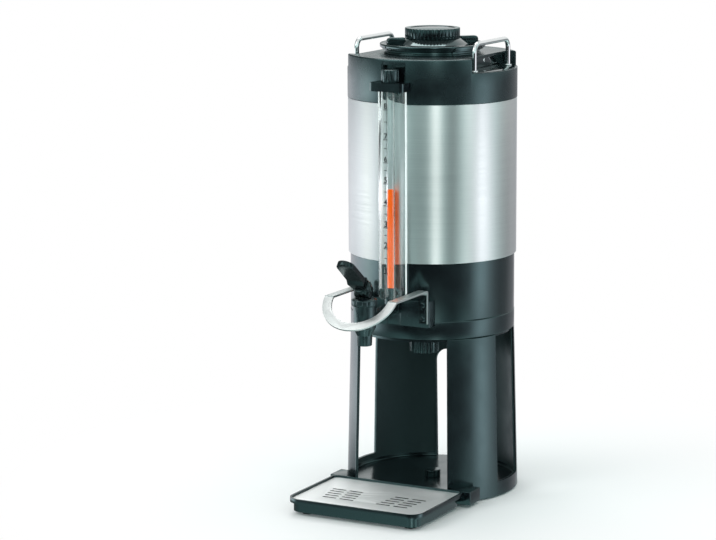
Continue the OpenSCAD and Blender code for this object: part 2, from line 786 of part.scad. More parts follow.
module plug_seal() {
    color(SEAL) translate([0, 0, z_plug_seat + free_gap / 2]) cylinder(r = plug_channel_r - 2, h = plug_seal_t);
}

// Faucet

// Outline of the housing seen from above, with a slot whose front edges are round
module housing_outline() {
    round_r = 0.8 * (web_y - housing_y);
    difference() {
        round_rect(-housing_half, housing_y, housing_half, -cup_r / 2, 2);
        translate([-slot_half, housing_y - 1]) square([2 * slot_half, web_y - housing_y + 1]);
        translate([-slot_half - round_r, housing_y - 1]) square([2 * (slot_half + round_r), round_r + 1]);
    }
    for (s = [-1, 1]) translate([s * (slot_half + round_r), housing_y + round_r]) circle(r = round_r);
}

module faucet_housing() {
    color(SATIN) difference() {
        translate([0, 0, z_cup - housing_drop]) linear_extrude(housing_top + housing_drop) housing_outline();
        cylinder(r = cup_r + fit_gap, h = 2 * z_cup);
        translate([0, 0, -fit_gap]) cylinder(r = collar_r + 2 * fit_gap, h = z_cup + 2 * fit_gap);
        translate([0, 0, z_shank]) rod_y(shank_r + fit_gap, -cup_r / 2, cup_r);
        guard_holes();
    }
}

module guard_holes() {
    for (s = [-1, 1], k = [0, 1]) translate([s * guard_x, 0, z_guard_screw - k * guard_pitch])
        rod_y(2, housing_y + guard_screw_len, guard_screw_len + 2);
}

// Shank with the upright socket of the gauge tube
module faucet_shank() {
    color(SATIN) difference() {
        union() {
            translate([0, 0, z_shank]) rod_y(shank_r, -(cup_r - shank_tail), -faucet_y - cup_r + shank_tail - faucet_r + shank_in);
            translate([0, 0, z_shank]) rod_y(shank_r + 1.2, web_y, 3);
            translate([0, gauge_y, z_shank]) cylinder(r = boss_r, h = z_socket_top - z_shank);
            translate([0, gauge_y, z_shank]) sphere(r = boss_r);
        }
        translate([0, 0, z_shank]) rod_y(shank_bore, -(cup_r - shank_tail - 1), -faucet_y);
        translate([0, gauge_y, z_shank]) cylinder(r = 3, h = z_socket - z_shank + 1);
        translate([0, gauge_y, z_socket]) cylinder(r = tube_r + fit_gap, h = 20);
        translate([0, gauge_y, z_socket_top - 3]) cylinder(r = tube_r + 2, h = 20);
    }
}

module shank_nut() {
    color(STEEL) translate([0, pad_y + washer_t, z_shank]) rotate([-90, 0, 0]) difference() {
        cylinder(r = shank_r + 5, h = nut_t, $fn = 6);
        translate([0, 0, -1]) cylinder(r = shank_r + run_gap, h = nut_t + 2);
    }
}

module shank_washer() {
    color(RUBBER) translate([0, 0, z_shank]) difference() {
        rod_y(shank_r + 5, pad_y + washer_t, washer_t);
        rod_y(shank_r + run_gap, pad_y + washer_t + 1, washer_t + 2);
    }
}

module faucet_body() {
    z_taper = z_seat - 4;
    color(SATIN) difference() {
        union() {
            translate([0, faucet_y, 0]) rotate_extrude() polygon([[0, z_spout], [spout_r, z_spout],
                [spout_r + 0.6, z_taper - 10], [faucet_r, z_taper], [faucet_r, z_bonnet - 0.2],
                [bonnet_neck_r, z_bonnet - 0.2], [bonnet_neck_r, z_bonnet_top - bonnet_cover - 0.2],
                [0, z_bonnet_top - bonnet_cover - 0.2]]);
            translate([0, 0, z_shank]) rod_y(shank_r + 2.5, faucet_y + faucet_r + 10, 20);
        }
        translate([0, faucet_y, z_spout - 1]) cylinder(r = spout_bore, h = z_bonnet - z_spout);
        translate([0, faucet_y, z_seat]) cylinder(r = chamber_r, h = z_bonnet);
        translate([0, 0, z_shank]) rod_y(shank_r + run_gap, faucet_y + faucet_r + 11, 11 + shank_in + run_gap);
        translate([0, 0, z_shank]) rod_y(shank_bore, faucet_y + faucet_r + 11, faucet_r + 11);
    }
}

module faucet_bonnet() {
    color(SATIN) translate([0, faucet_y, 0]) difference() {
        rotate_extrude() polygon([[0, z_bonnet], [bonnet_r, z_bonnet], [bonnet_r, z_bonnet_top - 1.5],
            [bonnet_r - 1.5, z_bonnet_top], [0, z_bonnet_top]]);
        translate([0, 0, z_bonnet - 1]) cylinder(r = bonnet_neck_r + fit_gap, h = bonnet_h - bonnet_cover + 1);
        translate([0, 0, z_bonnet]) cylinder(r = stem_r + run_gap, h = 2 * bonnet_h);
    }
}

module valve_stem() {
    color(SATIN) translate([0, faucet_y, 0]) difference() {
        union() {
            translate([0, 0, z_seat_cup + seat_h]) cylinder(r = stem_r, h = z_pin - z_seat_cup - seat_h);
            translate([-yoke_half + free_gap, 0, z_pin]) rotate([0, 90, 0])
                cylinder(r = 4.4, h = 2 * (yoke_half - free_gap));
        }
        translate([-10, 0, z_pin]) rotate([0, 90, 0]) cylinder(r = pin_r + run_gap, h = 20);
    }
}

module seat_cup() {
    color(SEAL) translate([0, faucet_y, z_seat_cup]) rotate_extrude()
        polygon([[0, 0], [seat_r - 3, 0], [seat_r, 3], [seat_r - 1, seat_h - 2], [seat_r - 2, seat_h], [0, seat_h]]);
}

// Valve spring: one round wire wound in a helix
spring_r = seat_r - 2.3 - spring_wire / 2;
spring_low = z_seat_cup + seat_h + 0.2 + spring_wire / 2;
spring_high = z_bonnet_top - bonnet_cover - 0.3 - spring_wire / 2;
spring_pitch = (spring_high - spring_low) / spring_turns;
spring_rings = 8 * spring_turns;
spring_sides = 6;
function spring_point(i, j) =
    let (a = 45 * i, b = 360 * j / spring_sides, r = spring_r + spring_wire / 2 * cos(b))
    [r * cos(a), r * sin(a), spring_low + spring_pitch * i / 8 + spring_wire / 2 * sin(b)];
spring_gap = min([for (i = [0:spring_rings - 8])
    norm(spring_point(i + 8, 4) - spring_point(i, 1))]);
echo(least_gap_between_spring_turns = spring_gap);

module valve_spring() {
    last = spring_rings * spring_sides;
    points = [for (i = [0:spring_rings], j = [0:spring_sides - 1]) spring_point(i, j)];
    sides = [for (i = [0:spring_rings - 1], j = [0:spring_sides - 1])
        let (a = i * spring_sides + j, b = i * spring_sides + (j + 1) % spring_sides) each
        [[a, b + spring_sides, b], [a, a + spring_sides, b + spring_sides]]];
    ends = [for (j = [1:spring_sides - 2]) each [[0, j, j + 1], [last, last + j + 1, last + j]]];
    color(STEEL) translate([0, faucet_y, 0]) polyhedron(points, concat(sides, ends));
}

// Front outline and side outline of the lever, standing upright on its pin
module lever_blade() {
    foot_half = 7;
    neck_z = 26;
    end_r = lever_w / 2;
    intersection() {
        translate([0, lever_w, 0]) rotate([90, 0, 0]) linear_extrude(2 * lever_w) {
            polygon([[-foot_half, 1], [foot_half, 1], [end_r, neck_z], [end_r, lever_len - end_r],
                [-end_r, lever_len - end_r], [-end_r, neck_z]]);
            translate([0, lever_len - end_r]) circle(r = end_r);
        }
        translate([-lever_w, 0, 0]) rotate([90, 0, 90]) linear_extrude(2 * lever_w)
            polygon([[-6, -4], [5, -4], [6, neck_z - 4], [3, neck_z + 14], [3, lever_len + 1],
                [-3.5, lever_len + 1], [-3.5, neck_z + 12], [-7, neck_z - 2]]);
    }
}

module faucet_lever() {
    color(BLACK) translate([0, faucet_y, z_pin]) difference() {
        union() {
            rotate([0, 90, 0]) translate([0, 0, -hub_half]) cylinder(r = 5.5, h = 2 * hub_half);
            translate([-hub_half, -cam_e * sin(cam_angle), -cam_e * cos(cam_angle)]) rotate([0, 90, 0])
                cylinder(r = cam_r, h = 2 * hub_half);
            rotate([lever_lean, 0, 0]) lever_blade();
        }
        translate([-yoke_half, -14, -14]) cube([2 * yoke_half, 28, 20.5]);
        translate([-20, 0, 0]) rotate([0, 90, 0]) cylinder(r = pin_r, h = 40);
    }
}

module lever_pin() {
    color(STEEL) translate([-hub_half, faucet_y, z_pin]) rotate([0, 90, 0])
        cylinder(r = pin_r - 0.01, h = 2 * hub_half);
}

// Side outline of one guard arm: upright tab and level arm
module guard_side() {
    tab_low = z_guard_screw - guard_pitch - guard_w / 2;
    polygon([[housing_y, tab_low], [housing_y, z_arm], [guard_bend_y, z_arm], [guard_bend_y, z_arm - guard_t],
        [housing_y - guard_t, z_arm - guard_t], [housing_y - guard_t, tab_low]]);
}

// Half ring, flat
module guard_ring() {
    difference() {
        circle(r = guard_r);
        circle(r = guard_r - guard_w);
        translate([-2 * guard_r, 0]) square([4 * guard_r, 2 * guard_r]);
    }
}

// Sheet guard: two tabs and arms, and a sloping half ring that is a little wider than the arms
module faucet_guard() {
    strip_w = guard_w - 2 * guard_lap;
    color(STEEL) difference() {
        union() {
            for (s = [-1, 1]) translate([s * guard_x - strip_w / 2, 0, 0]) rotate([90, 0, 90])
                linear_extrude(strip_w) guard_side();
            translate([0, guard_bend_y + guard_lap, z_arm - guard_lap / 2]) rotate([guard_slope, 0, 0])
                translate([0, 0, -guard_t]) linear_extrude(guard_t) guard_ring();
        }
        for (s = [-1, 1], k = [0, 1]) translate([s * guard_x, 0, z_guard_screw - k * guard_pitch])
            rod_y(2 + fit_gap, housing_y + 1, 10);
    }
}

module guard_screws() {
    color(BLACK) for (s = [-1, 1], k = [0, 1])
        translate([s * guard_x, housing_y - guard_t, z_guard_screw - k * guard_pitch]) rotate([-90, 0, 0])
            screw(1.95, guard_screw_len, 3.4, 2);
}

// Sight gauge

module gauge_tube() {
    color(CLEAR) translate([0, gauge_y, z_socket + 0.3])
        tube(tube_r, tube_r - tube_wall, z_gauge_neck - 0.8 - z_socket);
}

// Half-round shield, open towards the jacket, with a rounded lower edge
module gauge_shield() {
    z_end = z_gauge_under - 0.1;
    round_r = 12;
    color(CLEAR) difference() {
        intersection() {
            translate([0, shield_y, z_shield]) tube(shield_r, shield_r - shield_wall, z_end - z_shield);
            translate([0, shield_y, 0]) rotate([90, 0, 0]) linear_extrude(2 * shield_r) {
                round_rect(-shield_r - 1, z_shield, shield_r + 1, z_end - round_r, round_r);
                translate([-shield_r - 1, z_end - 3 * round_r]) square([2 * shield_r + 2, 3 * round_r + 1]);
            }
        }
        cylinder(r = body_r + free_gap, h = z_end + 1);
        translate([0, 0, z_shell - 1]) cylinder(r = shell_r + free_gap, h = shell_h);
    }
}

module gauge_bracket() {
    front = gauge_y - gauge_cap_r - 2;
    color(BLACK) difference() {
        union() {
            translate([0, 0, z_gauge_under]) linear_extrude(gauge_bracket_t)
                round_rect(-gauge_half, front, gauge_half, -body_r / 2, 5);
            translate([0, gauge_y, z_gauge - 1]) cylinder(r = gauge_neck_r, h = z_gauge_neck - z_gauge + 1);
        }
        translate([0, 0, z_gauge_under - 1]) cylinder(r = shell_r + fit_gap, h = gauge_bracket_t + 1);
        translate([0, gauge_y, z_gauge_under - 1]) cylinder(r = tube_r + fit_gap, h = gauge_bracket_t + gauge_cap_h);
        translate([0, gauge_y, z_gauge_neck - 3]) cylinder(r = tube_r + 2, h = 20);
    }
}

module gauge_cap() {
    color(BLACK) translate([0, gauge_y, z_gauge + 0.3]) difference() {
        rotate_extrude() polygon([[0, 0], [gauge_cap_r, 0], [gauge_cap_r, gauge_cap_h - 1.5],
            [gauge_cap_r - 1.5, gauge_cap_h], [0, gauge_cap_h]]);
        translate([0, 0, -1]) cylinder(r = gauge_neck_r + run_gap, h = z_gauge_neck - z_gauge + liner_t + 1);
        translate([0, 0, -1]) grooves(gauge_cap_r + 1.1, 18, 1.6, gauge_cap_h + 2);
    }
}

// Sealing disc between the gauge cap and the bracket's neck
module gauge_liner() {
    color(SEAL) translate([0, gauge_y, z_gauge_neck + 0.1]) cylinder(r = gauge_neck_r, h = liner_t);
}

// Bar that ties the shield's lower end to the gauge socket
module gauge_clip() {
    color(BLACK) translate([0, 0, z_socket + 1]) intersection() {
        difference() {
            translate([-shield_r, gauge_y - 3, 0]) cube([2 * shield_r, 6, 5]);
            translate([0, gauge_y, -1]) cylinder(r = boss_r + fit_gap, h = 8);
        }
        translate([0, shield_y, 0]) cylinder(r = shield_r - shield_wall - fit_gap, h = 6);
    }
}

module gauge_seals() {
    color(SEAL) for (z = [z_socket_top - 1.5, z_gauge_neck - 1.5]) translate([0, gauge_y, z])
        rotate_extrude() translate([tube_r + 1, 0]) circle(r = 0.94, $fn = 32);
}

stand_shell();
stand_collar();
stand_feet();
centre_foot();
foot_knob();
clamp_stud();
clamp_washer();
clamp_nut();
tray_brackets();
bracket_screws();
drip_tray();
tray_feet();
drip_grid();
lower_cup();
outer_jacket();
insulation();
inner_vessel();
outlet_pipe();
top_shell();
neck_ring();
handle_left();
handle_right();
handle_bushings();
handle_nuts();
lid_stopper();
stopper_seal();
lid_flange();
lid_cap();
pouring_plug();
plug_seal();
faucet_housing();
faucet_shank();
shank_nut();
shank_washer();
faucet_body();
faucet_bonnet();
valve_stem();
seat_cup();
valve_spring();
faucet_lever();
lever_pin();
faucet_guard();
guard_screws();
gauge_tube();
gauge_shield();
gauge_bracket();
gauge_cap();
gauge_liner();
gauge_clip();
gauge_seals();
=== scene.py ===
"""Looks of an insulated beverage dispenser.

A steel-jacketed vessel with a screw lid, a sight gauge and a guarded lever faucet stands on a windowed
stand with a drip tray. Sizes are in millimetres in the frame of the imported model: +Z up, faucet towards -Y.
"""
import logging
import math
from dataclasses import dataclass
from enum import Enum
from typing import Sequence

import bpy
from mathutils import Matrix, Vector


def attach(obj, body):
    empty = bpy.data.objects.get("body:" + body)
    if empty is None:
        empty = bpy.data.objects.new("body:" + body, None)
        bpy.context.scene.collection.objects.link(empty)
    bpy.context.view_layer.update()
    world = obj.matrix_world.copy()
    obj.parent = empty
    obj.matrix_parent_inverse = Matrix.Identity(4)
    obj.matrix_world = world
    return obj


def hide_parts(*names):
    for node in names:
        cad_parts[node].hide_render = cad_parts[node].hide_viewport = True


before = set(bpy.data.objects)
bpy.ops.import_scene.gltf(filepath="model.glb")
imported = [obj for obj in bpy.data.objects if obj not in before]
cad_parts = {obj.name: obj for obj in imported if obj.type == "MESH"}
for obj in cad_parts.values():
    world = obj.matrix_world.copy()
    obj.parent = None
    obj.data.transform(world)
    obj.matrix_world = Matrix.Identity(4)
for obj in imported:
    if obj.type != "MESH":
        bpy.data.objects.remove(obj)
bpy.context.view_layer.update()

LOG = logging.getLogger("dispenser")
MM = 0.001
SIDES = (-1, 1)
ROUND_ANGLE = math.radians(38)
SMOOTH_ANGLE = math.radians(32)
NOISE_LOW = 0.3
NOISE_HIGH = 0.7
Point = tuple[float, float]
Corner = tuple[float, float, float]
Piece = bpy.types.Object
Node = bpy.types.Node
Inputs = dict[str | int, object]


class Axis(Enum):
    """Direction that a turned or extruded piece runs along."""

    X = (1.0, 0.0, 0.0)
    Y = (0.0, 1.0, 0.0)
    Z = (0.0, 0.0, 1.0)

    def place(self, along: float, u: float, v: float) -> Vector:
        """Returns the point at a distance along the axis and at u and v across it."""
        return Vector({Axis.X: (along, u, v), Axis.Y: (u, along, v), Axis.Z: (u, v, along)}[self])


class Mode(Enum):
    """Ways to combine a piece with another solid."""

    CUT = "DIFFERENCE"
    ADD = "UNION"
    KEEP = "INTERSECT"


class Body(Enum):
    """Bodies of the model that new pieces ride on."""

    STAND = "stand"
    TRAY = "tray"
    GRID = "grid"
    LID_RING = "lid_ring"
    CAP = "cap"
    GAUGE_KNOB = "gauge_knob"
    LEVER = "lever"
    CLAMP_KNOB = "clamp_knob"


# Finishes


def linear(code: str) -> tuple[float, float, float, float]:
    """Turns an sRGB hex colour into linear RGBA.

    Args:
        code: colour such as "#1a2b3c".

    Returns:
        The colour as linear red, green, blue and alpha.
    """
    parts = [int(code[i:i + 2], 16) / 255 for i in (1, 3, 5)]
    red, green, blue = (c / 12.92 if c <= 0.04045 else ((c + 0.055) / 1.055) ** 2.4 for c in parts)
    return red, green, blue, 1.0


def wire(node: Node, inputs: Inputs) -> None:
    """Sets a node's inputs to values or links them.

    Args:
        node: node whose inputs are set.
        inputs: values, sockets or nodes by input name or number; a node stands for its first output.
    """
    for key, value in inputs.items():
        source = value.outputs[0] if isinstance(value, Node) else value
        if isinstance(source, bpy.types.NodeSocket):
            node.id_data.links.new(source, node.inputs[key])
        else:
            node.inputs[key].default_value = source


def add_node(tree: bpy.types.NodeTree, kind: str, inputs: Inputs | None = None, **settings: object) -> Node:
    """Adds a node, sets its properties and sets or links its inputs.

    Args:
        tree: node tree that gets the node.
        kind: type of the node, without its prefix.
        inputs: what goes into its inputs, as for wire.
        settings: properties of the node.

    Returns:
        The new node.
    """
    node = tree.nodes.new("ShaderNode" + kind)
    for key, value in settings.items():
        setattr(node, key, value)
    wire(node, inputs or {})
    return node


@dataclass(frozen=True)
class Finish:
    """A surface finish, with the record's material slot that it stands for."""

    name: str
    slot: str
    dark: str
    light: str
    roughness: float

    def make(self) -> bpy.types.Material:
        """Makes the finish's material at its first use.

        Returns:
            The material.
        """
        material = bpy.data.materials.get(self.name)
        if material is None:
            material = bpy.data.materials.new(self.name)
            material.use_nodes = True
            tree = material.node_tree
            tree.nodes.clear()
            shader = add_node(tree, "BsdfPrincipled", {"Roughness": self.roughness})
            add_node(tree, "OutputMaterial", {"Surface": shader})
            self.paint(shader)
        return material

    def paint(self, shader: Node) -> None:
        """Adds the finish's own look to its shader."""
        raise NotImplementedError

    def place(self, shader: Node) -> Node:
        """Adds the piece's own coordinates, taken apart into X, Y and Z."""
        coords = add_node(shader.id_data, "TexCoord")
        return add_node(shader.id_data, "SeparateXYZ", {"Vector": coords.outputs["Object"]})

    def pattern(self, shader: Node, detail: float, *cells: float) -> Node:
        """Adds noise on the piece's own coordinates.

        Args:
            shader: shader of the material.
            detail: octaves of the noise.
            cells: size of its cells in millimetres along X, Y and Z, or one size for all three.

        Returns:
            The noise, whose values lie mostly between NOISE_LOW and NOISE_HIGH.
        """
        tree = shader.id_data
        scale = [1 / (cell * MM) for cell in (cells * 3)[:3]]
        coords = add_node(tree, "TexCoord")
        mapping = add_node(tree, "Mapping", {"Vector": coords.outputs["Object"], "Scale": scale})
        return add_node(tree, "TexNoise", {"Vector": mapping, "Scale": 1.0, "Detail": detail})

    def spread(self, shader: Node, noise: Node, swing: float) -> None:
        """Lets the colour and the roughness wander with a pattern.

        Args:
            shader: shader of the material.
            noise: the pattern.
            swing: change of roughness to either side.
        """
        tree = shader.id_data
        colours = {0: noise, 6: linear(self.dark), 7: linear(self.light)}
        colour = add_node(tree, "Mix", colours, data_type="RGBA")
        gloss = add_node(tree, "MapRange", {
            "Value": noise, "From Min": NOISE_LOW, "From Max": NOISE_HIGH,
            "To Min": self.roughness - swing, "To Max": self.roughness + swing})
        wire(shader, {"Base Color": colour.outputs[2], "Roughness": gloss})

    def relief(self, shader: Node, noise: Node, depth_mm: float) -> None:
        """Raises the surface by a pattern, depth_mm deep."""
        height = {"Height": noise, "Strength": 0.5, "Distance": depth_mm * MM}
        wire(shader, {"Normal": add_node(shader.id_data, "Bump", height)})


@dataclass(frozen=True)
class MouldedPlastic(Finish):
    """Injection-moulded ABS: black with a cool sheen, faint flow clouds and a fine spark-eroded grain."""

    cloud_mm: float = 26.0
    grain_mm: float = 1.6
    depth_mm: float = 0.02
    shine: float = 0.85
    sheen: str = "#cbfbfd"
    ior: float = 1.54

    def paint(self, shader: Node) -> None:
        """Adds flow clouds and the grain; the grain is drawn coarser than real so that it shows.

        Args:
            shader: shader of the material.
        """
        wire(shader, {"IOR": self.ior, "Specular IOR Level": self.shine,
                      "Specular Tint": linear(self.sheen)})
        self.spread(shader, self.pattern(shader, 4.0, self.cloud_mm), 0.05)
        self.relief(shader, self.pattern(shader, 2.0, self.grain_mm), self.depth_mm)


@dataclass(frozen=True)
class CoredPlastic(MouldedPlastic):
    """Moulded ABS of a tapered shell: polished outside, dull on the inner faces that the core shaped."""

    foot_mm: float = 116.0
    top_mm: float = 110.3
    z_foot_mm: float = 14.0
    z_top_mm: float = 226.0
    core_rough: float = 0.3

    def paint(self, shader: Node) -> None:
        """Roughens all faces above the floor plate that lie inside the outer skin.

        Args:
            shader: shader of the material.
        """
        super().paint(shader)
        tree = shader.id_data
        x, y, z = self.place(shader).outputs
        flat = add_node(tree, "CombineXYZ", {"X": x, "Y": y})
        radius = add_node(tree, "VectorMath", {0: flat}, operation="LENGTH")
        skin = add_node(tree, "MapRange", {
            "Value": z, "From Min": self.z_foot_mm * MM, "From Max": self.z_top_mm * MM,
            "To Min": self.foot_mm * MM, "To Max": self.top_mm * MM})
        inner = add_node(tree, "Math", {0: radius.outputs["Value"], 1: skin}, operation="LESS_THAN")
        above = add_node(tree, "Math", {0: z, 1: self.z_foot_mm * MM}, operation="GREATER_THAN")
        core = add_node(tree, "Math", {0: inner, 1: above}, operation="MULTIPLY")
        polished = shader.inputs["Roughness"].links[0].from_socket
        rough = add_node(tree, "Math", {0: core, 1: self.core_rough, 2: polished}, operation="MULTIPLY_ADD")
        wire(shader, {"Roughness": rough})


@dataclass(frozen=True)
class BrushedSteel(Finish):
    """Stainless sheet brushed along one direction: long fine lines that draw reflections out across them."""

    brush_mm: Corner = (90.0, 90.0, 0.9)
    depth_mm: float = 0.006
    stretch: float = 0.5

    def paint(self, shader: Node) -> None:
        """Adds the brush lines; they are drawn about three times as wide as real ones so that they show.

        Args:
            shader: shader of the material.
        """
        tangent = add_node(shader.id_data, "Tangent", direction_type="RADIAL", axis="Z")
        wire(shader, {"Metallic": 1.0, "Anisotropic": self.stretch, "Anisotropic Rotation": 0.25,
                      "Tangent": tangent})
        lines = self.pattern(shader, 5.0, *self.brush_mm)
        self.spread(shader, lines, 0.04)
        self.relief(shader, lines, self.depth_mm)


@dataclass(frozen=True)
class PlatedSteel(Finish):
    """Nickel-chrome plate on wire: a near mirror with the slight haze of a wiped plate."""

    haze_mm: float = 14.0

    def paint(self, shader: Node) -> None:
        """Makes the surface metal and adds the haze."""
        wire(shader, {"Metallic": 1.0})
        self.spread(shader, self.pattern(shader, 4.0, self.haze_mm), 0.03)


@dataclass(frozen=True)
class SoftRubber(Finish):
    """Moulded rubber, silicone or foam: dull, with a fine open texture."""

    grain_mm: float = 1.2
    depth_mm: float = 0.08

    def paint(self, shader: Node) -> None:
        """Adds the texture.

        Args:
            shader: shader of the material.
        """
        grain = self.pattern(shader, 3.0, self.grain_mm)
        self.spread(shader, grain, 0.06)
        self.relief(shader, grain, self.depth_mm)


@dataclass(frozen=True)
class ClearPlastic(Finish):
    """Extruded clear polycarbonate: colourless, with faint draw lines along its length."""

    ior: float = 1.49
    draw_mm: Corner = (3.0, 3.0, 200.0)

    def paint(self, shader: Node) -> None:
        """Makes the plastic clear and adds its draw lines."""
        wire(shader, {"Transmission Weight": 1.0, "IOR": self.ior})
        self.spread(shader, self.pattern(shader, 2.0, *self.draw_mm), 0.015)


@dataclass(frozen=True)
class SawnPlastic(ClearPlastic):
    """Clear polycarbonate with frosted sawn edges that carry a painted glow: emission stands in for the light
    that the sheet pipes to them.
    """

    edge_y_mm: float = 0.0
    edge_mm: float = 1.0
    painted_edge_glow: float = 0.3
    painted_glow: str = "#f0fbfa"

    def paint(self, shader: Node) -> None:
        """Makes the plastic clear in front of the sawn edges, and gives these a painted glow by emission.

        Args:
            shader: shader of the material.
        """
        super().paint(shader)
        start, end = ((self.edge_y_mm - share * self.edge_mm) * MM for share in (1.0, 0.5))
        clear = add_node(shader.id_data, "MapRange", {
            "Value": self.place(shader).outputs["Y"], "From Min": start, "From Max": end,
            "To Min": 1.0, "To Max": 0.0})
        # light is painted glow: emission on the sawn edges where the plastic stops being clear
        light = add_node(shader.id_data, "MapRange", {"Value": clear, "To Min": self.painted_edge_glow, "To Max": 0.0})
        wire(shader, {"Transmission Weight": clear, "Emission Color": linear(self.painted_glow),
                      "Emission Strength": light})


@dataclass(frozen=True)
class Drink(Finish):
    """Orange drink in the gauge tube: cloudy pulp with a painted glow, emission standing in for the light
    that comes through it.
    """

    pulp_mm: Corner = (4.0, 4.0, 14.0)
    painted_glow: float = 0.6
    cloud: float = 0.12
    depth_mm: float = 3.0

    def paint(self, shader: Node) -> None:
        """Adds drifting pulp and a painted glow by emission in place of the light from behind."""
        # The emission is painted glow standing in for light that passes through the drink.
        wire(shader, {"Emission Color": linear(self.light), "Emission Strength": self.painted_glow,
                      "Specular IOR Level": 0.0, "Subsurface Weight": self.cloud,
                      "Subsurface Scale": self.depth_mm * MM})
        self.spread(shader, self.pattern(shader, 4.0, *self.pulp_mm), 0.05)


@dataclass(frozen=True)
class PrintInk(Finish):
    """Screen-printed ink: nearly flat, a little thin in places."""

    thin_mm: float = 1.5

    def paint(self, shader: Node) -> None:
        """Adds the ink's thin places."""
        self.spread(shader, self.pattern(shader, 3.0, self.thin_mm), 0.05)


SHEET_BRUSH = (90.0, 0.8, 0.8)
GLOSS_ABS = MouldedPlastic("gloss_abs", "black_plastic", "#090b0e", "#0f1216", 0.17, depth_mm=0.008)
SATIN_ABS = MouldedPlastic("satin_abs", "satin_plastic", "#0a0c10", "#111418", 0.26, depth_mm=0.008)
STAND_ABS = MouldedPlastic("stand_abs", "black_plastic", "#090b0f", "#101317", 0.2)
LEG_ABS = CoredPlastic("leg_abs", "black_plastic", "#090b0f", "#101317", 0.2)
LEVER_ABS = MouldedPlastic("lever_abs", "black_plastic", "#090b0d", "#101214", 0.18, depth_mm=0.006,
                           shine=0.4)
LID_ABS = MouldedPlastic("lid_abs", "black_plastic", "#07090b", "#0c0e11", 0.07, depth_mm=0.0015)
JACKET_STEEL = BrushedSteel("brushed_stainless", "brushed_steel", "#d3d8d7", "#e3e7e6", 0.32, stretch=0.9)
SHEET_STEEL = BrushedSteel("satin_stainless", "sheet_steel", "#cdd2d1", "#dde1e0", 0.38, SHEET_BRUSH,
                           stretch=0.0)
GRID_STEEL = BrushedSteel("grid_stainless", "sheet_steel", "#eceeed", "#f6f7f7", 0.6, SHEET_BRUSH,
                          stretch=0.0)
# The near-black finish of the slot walls is painted shade for the dark inside of the slots.
PAINTED_SHADE_EDGE = PlatedSteel("punched_edge_painted_shade", "sheet_steel", "#0b0c0d", "#161718", 0.5)
PLAIN_STEEL = PlatedSteel("plain_steel", "sheet_steel", "#b4b8b9", "#c6cacb", 0.3)
CHROME = PlatedSteel("chrome_plate", "chrome", "#d6dada", "#e6eaea", 0.07)
RUBBER = SoftRubber("black_rubber", "rubber", "#0e0f10", "#1a1b1c", 0.75)
SILICONE = SoftRubber("grey_silicone", "silicone", "#b0b0ac", "#c6c6c2", 0.5)
FOAM = SoftRubber("rigid_foam", "foam", "#d8c898", "#e8dcb4", 0.9, grain_mm=2.5)
CLEAR = ClearPlastic("clear_polycarbonate", "clear", "#f4fafa", "#ffffff", 0.02)
# The shield's sawn back edge glows by emission: painted glow, not a lamp.
SAWN_CLEAR = SawnPlastic("sawn_polycarbonate_painted_edge_glow", "clear", "#f4fafa", "#ffffff", 0.02, edge_y_mm=-114.5,
                         edge_mm=3.0)
DRINK = Drink("orange_drink", "clear", "#fa5c08", "#ff6e18", 0.3)
INK = PrintInk("scale_ink", "black_plastic", "#070a0d", "#14191e", 0.5)


# Modelling steps


def pick(*objs: Piece) -> None:
    """Selects only these objects and makes the first one active.

    Args:
        objs: objects to select.
    """
    bpy.ops.object.select_all(action="DESELECT")
    for obj in objs:
        obj.select_set(True)
    bpy.context.view_layer.objects.active = objs[0]


def label(obj: Piece, name: str) -> Piece:
    """Names an object and its mesh, and returns the object."""
    obj.name = obj.data.name = name
    return obj


def settle(*objs: Piece) -> None:
    """Puts the place and turn of objects into their meshes."""
    pick(*objs)
    bpy.ops.object.transform_apply(location=True, rotation=True, scale=True)


def open_mesh(kind: str = "VERT") -> None:
    """Opens the active mesh in edit mode with all of it selected.

    Args:
        kind: what is selected, VERT or FACE.
    """
    bpy.ops.object.mode_set(mode="EDIT")
    bpy.ops.mesh.select_mode(type=kind)
    bpy.ops.mesh.select_all(action="SELECT")


def close_mesh() -> None:
    """Merges doubles, turns all faces outwards and leaves edit mode."""
    bpy.ops.mesh.select_all(action="SELECT")
    bpy.ops.mesh.remove_doubles(threshold=1e-6)
    bpy.ops.mesh.normals_make_consistent(inside=False)
    bpy.ops.object.mode_set(mode="OBJECT")


def extrude(x: float, y: float, z: float) -> None:
    """Extrudes what is selected by a step in millimetres."""
    bpy.ops.mesh.extrude_region_move(TRANSFORM_OT_translate={"value": Vector((x, y, z)) * MM})


def rounded(corners: Sequence[Corner], closed: bool = True, steps: int = 5) -> list[Point]:
    """Replaces the corners of an outline by arcs.

    Args:
        corners: x, y and radius of each corner.
        closed: whether the last corner joins the first.
        steps: edges in each arc.

    Returns:
        The points of the outline.
    """
    points: list[Point] = []
    for i, (x, y, radius) in enumerate(corners):
        at_end = not closed and i in (0, len(corners) - 1)
        if radius <= 0 or at_end:
            points.append((x, y))
            continue
        here = Vector((x, y))
        before = (Vector(corners[i - 1][:2]) - here).normalized()
        after = (Vector(corners[(i + 1) % len(corners)][:2]) - here).normalized()
        half = before.angle(after) / 2
        middle = here + (before + after).normalized() * (radius / math.sin(half))
        start = here + before * (radius / math.tan(half)) - middle
        end = here + after * (radius / math.tan(half)) - middle
        first = math.atan2(start.y, start.x)
        turn = (math.atan2(end.y, end.x) - first + math.pi) % math.tau - math.pi
        for k in range(steps + 1):
            angle = first + turn * k / steps
            points.append((middle.x + radius * math.cos(angle), middle.y + radius * math.sin(angle)))
    return points


def rectangle(x0: float, y0: float, x1: float, y1: float, radius: float, steps: int = 8) -> list[Point]:
    """Returns the outline of a rectangle with round corners."""
    return rounded([(x0, y0, radius), (x1, y0, radius), (x1, y1, radius), (x0, y1, radius)], steps=steps)


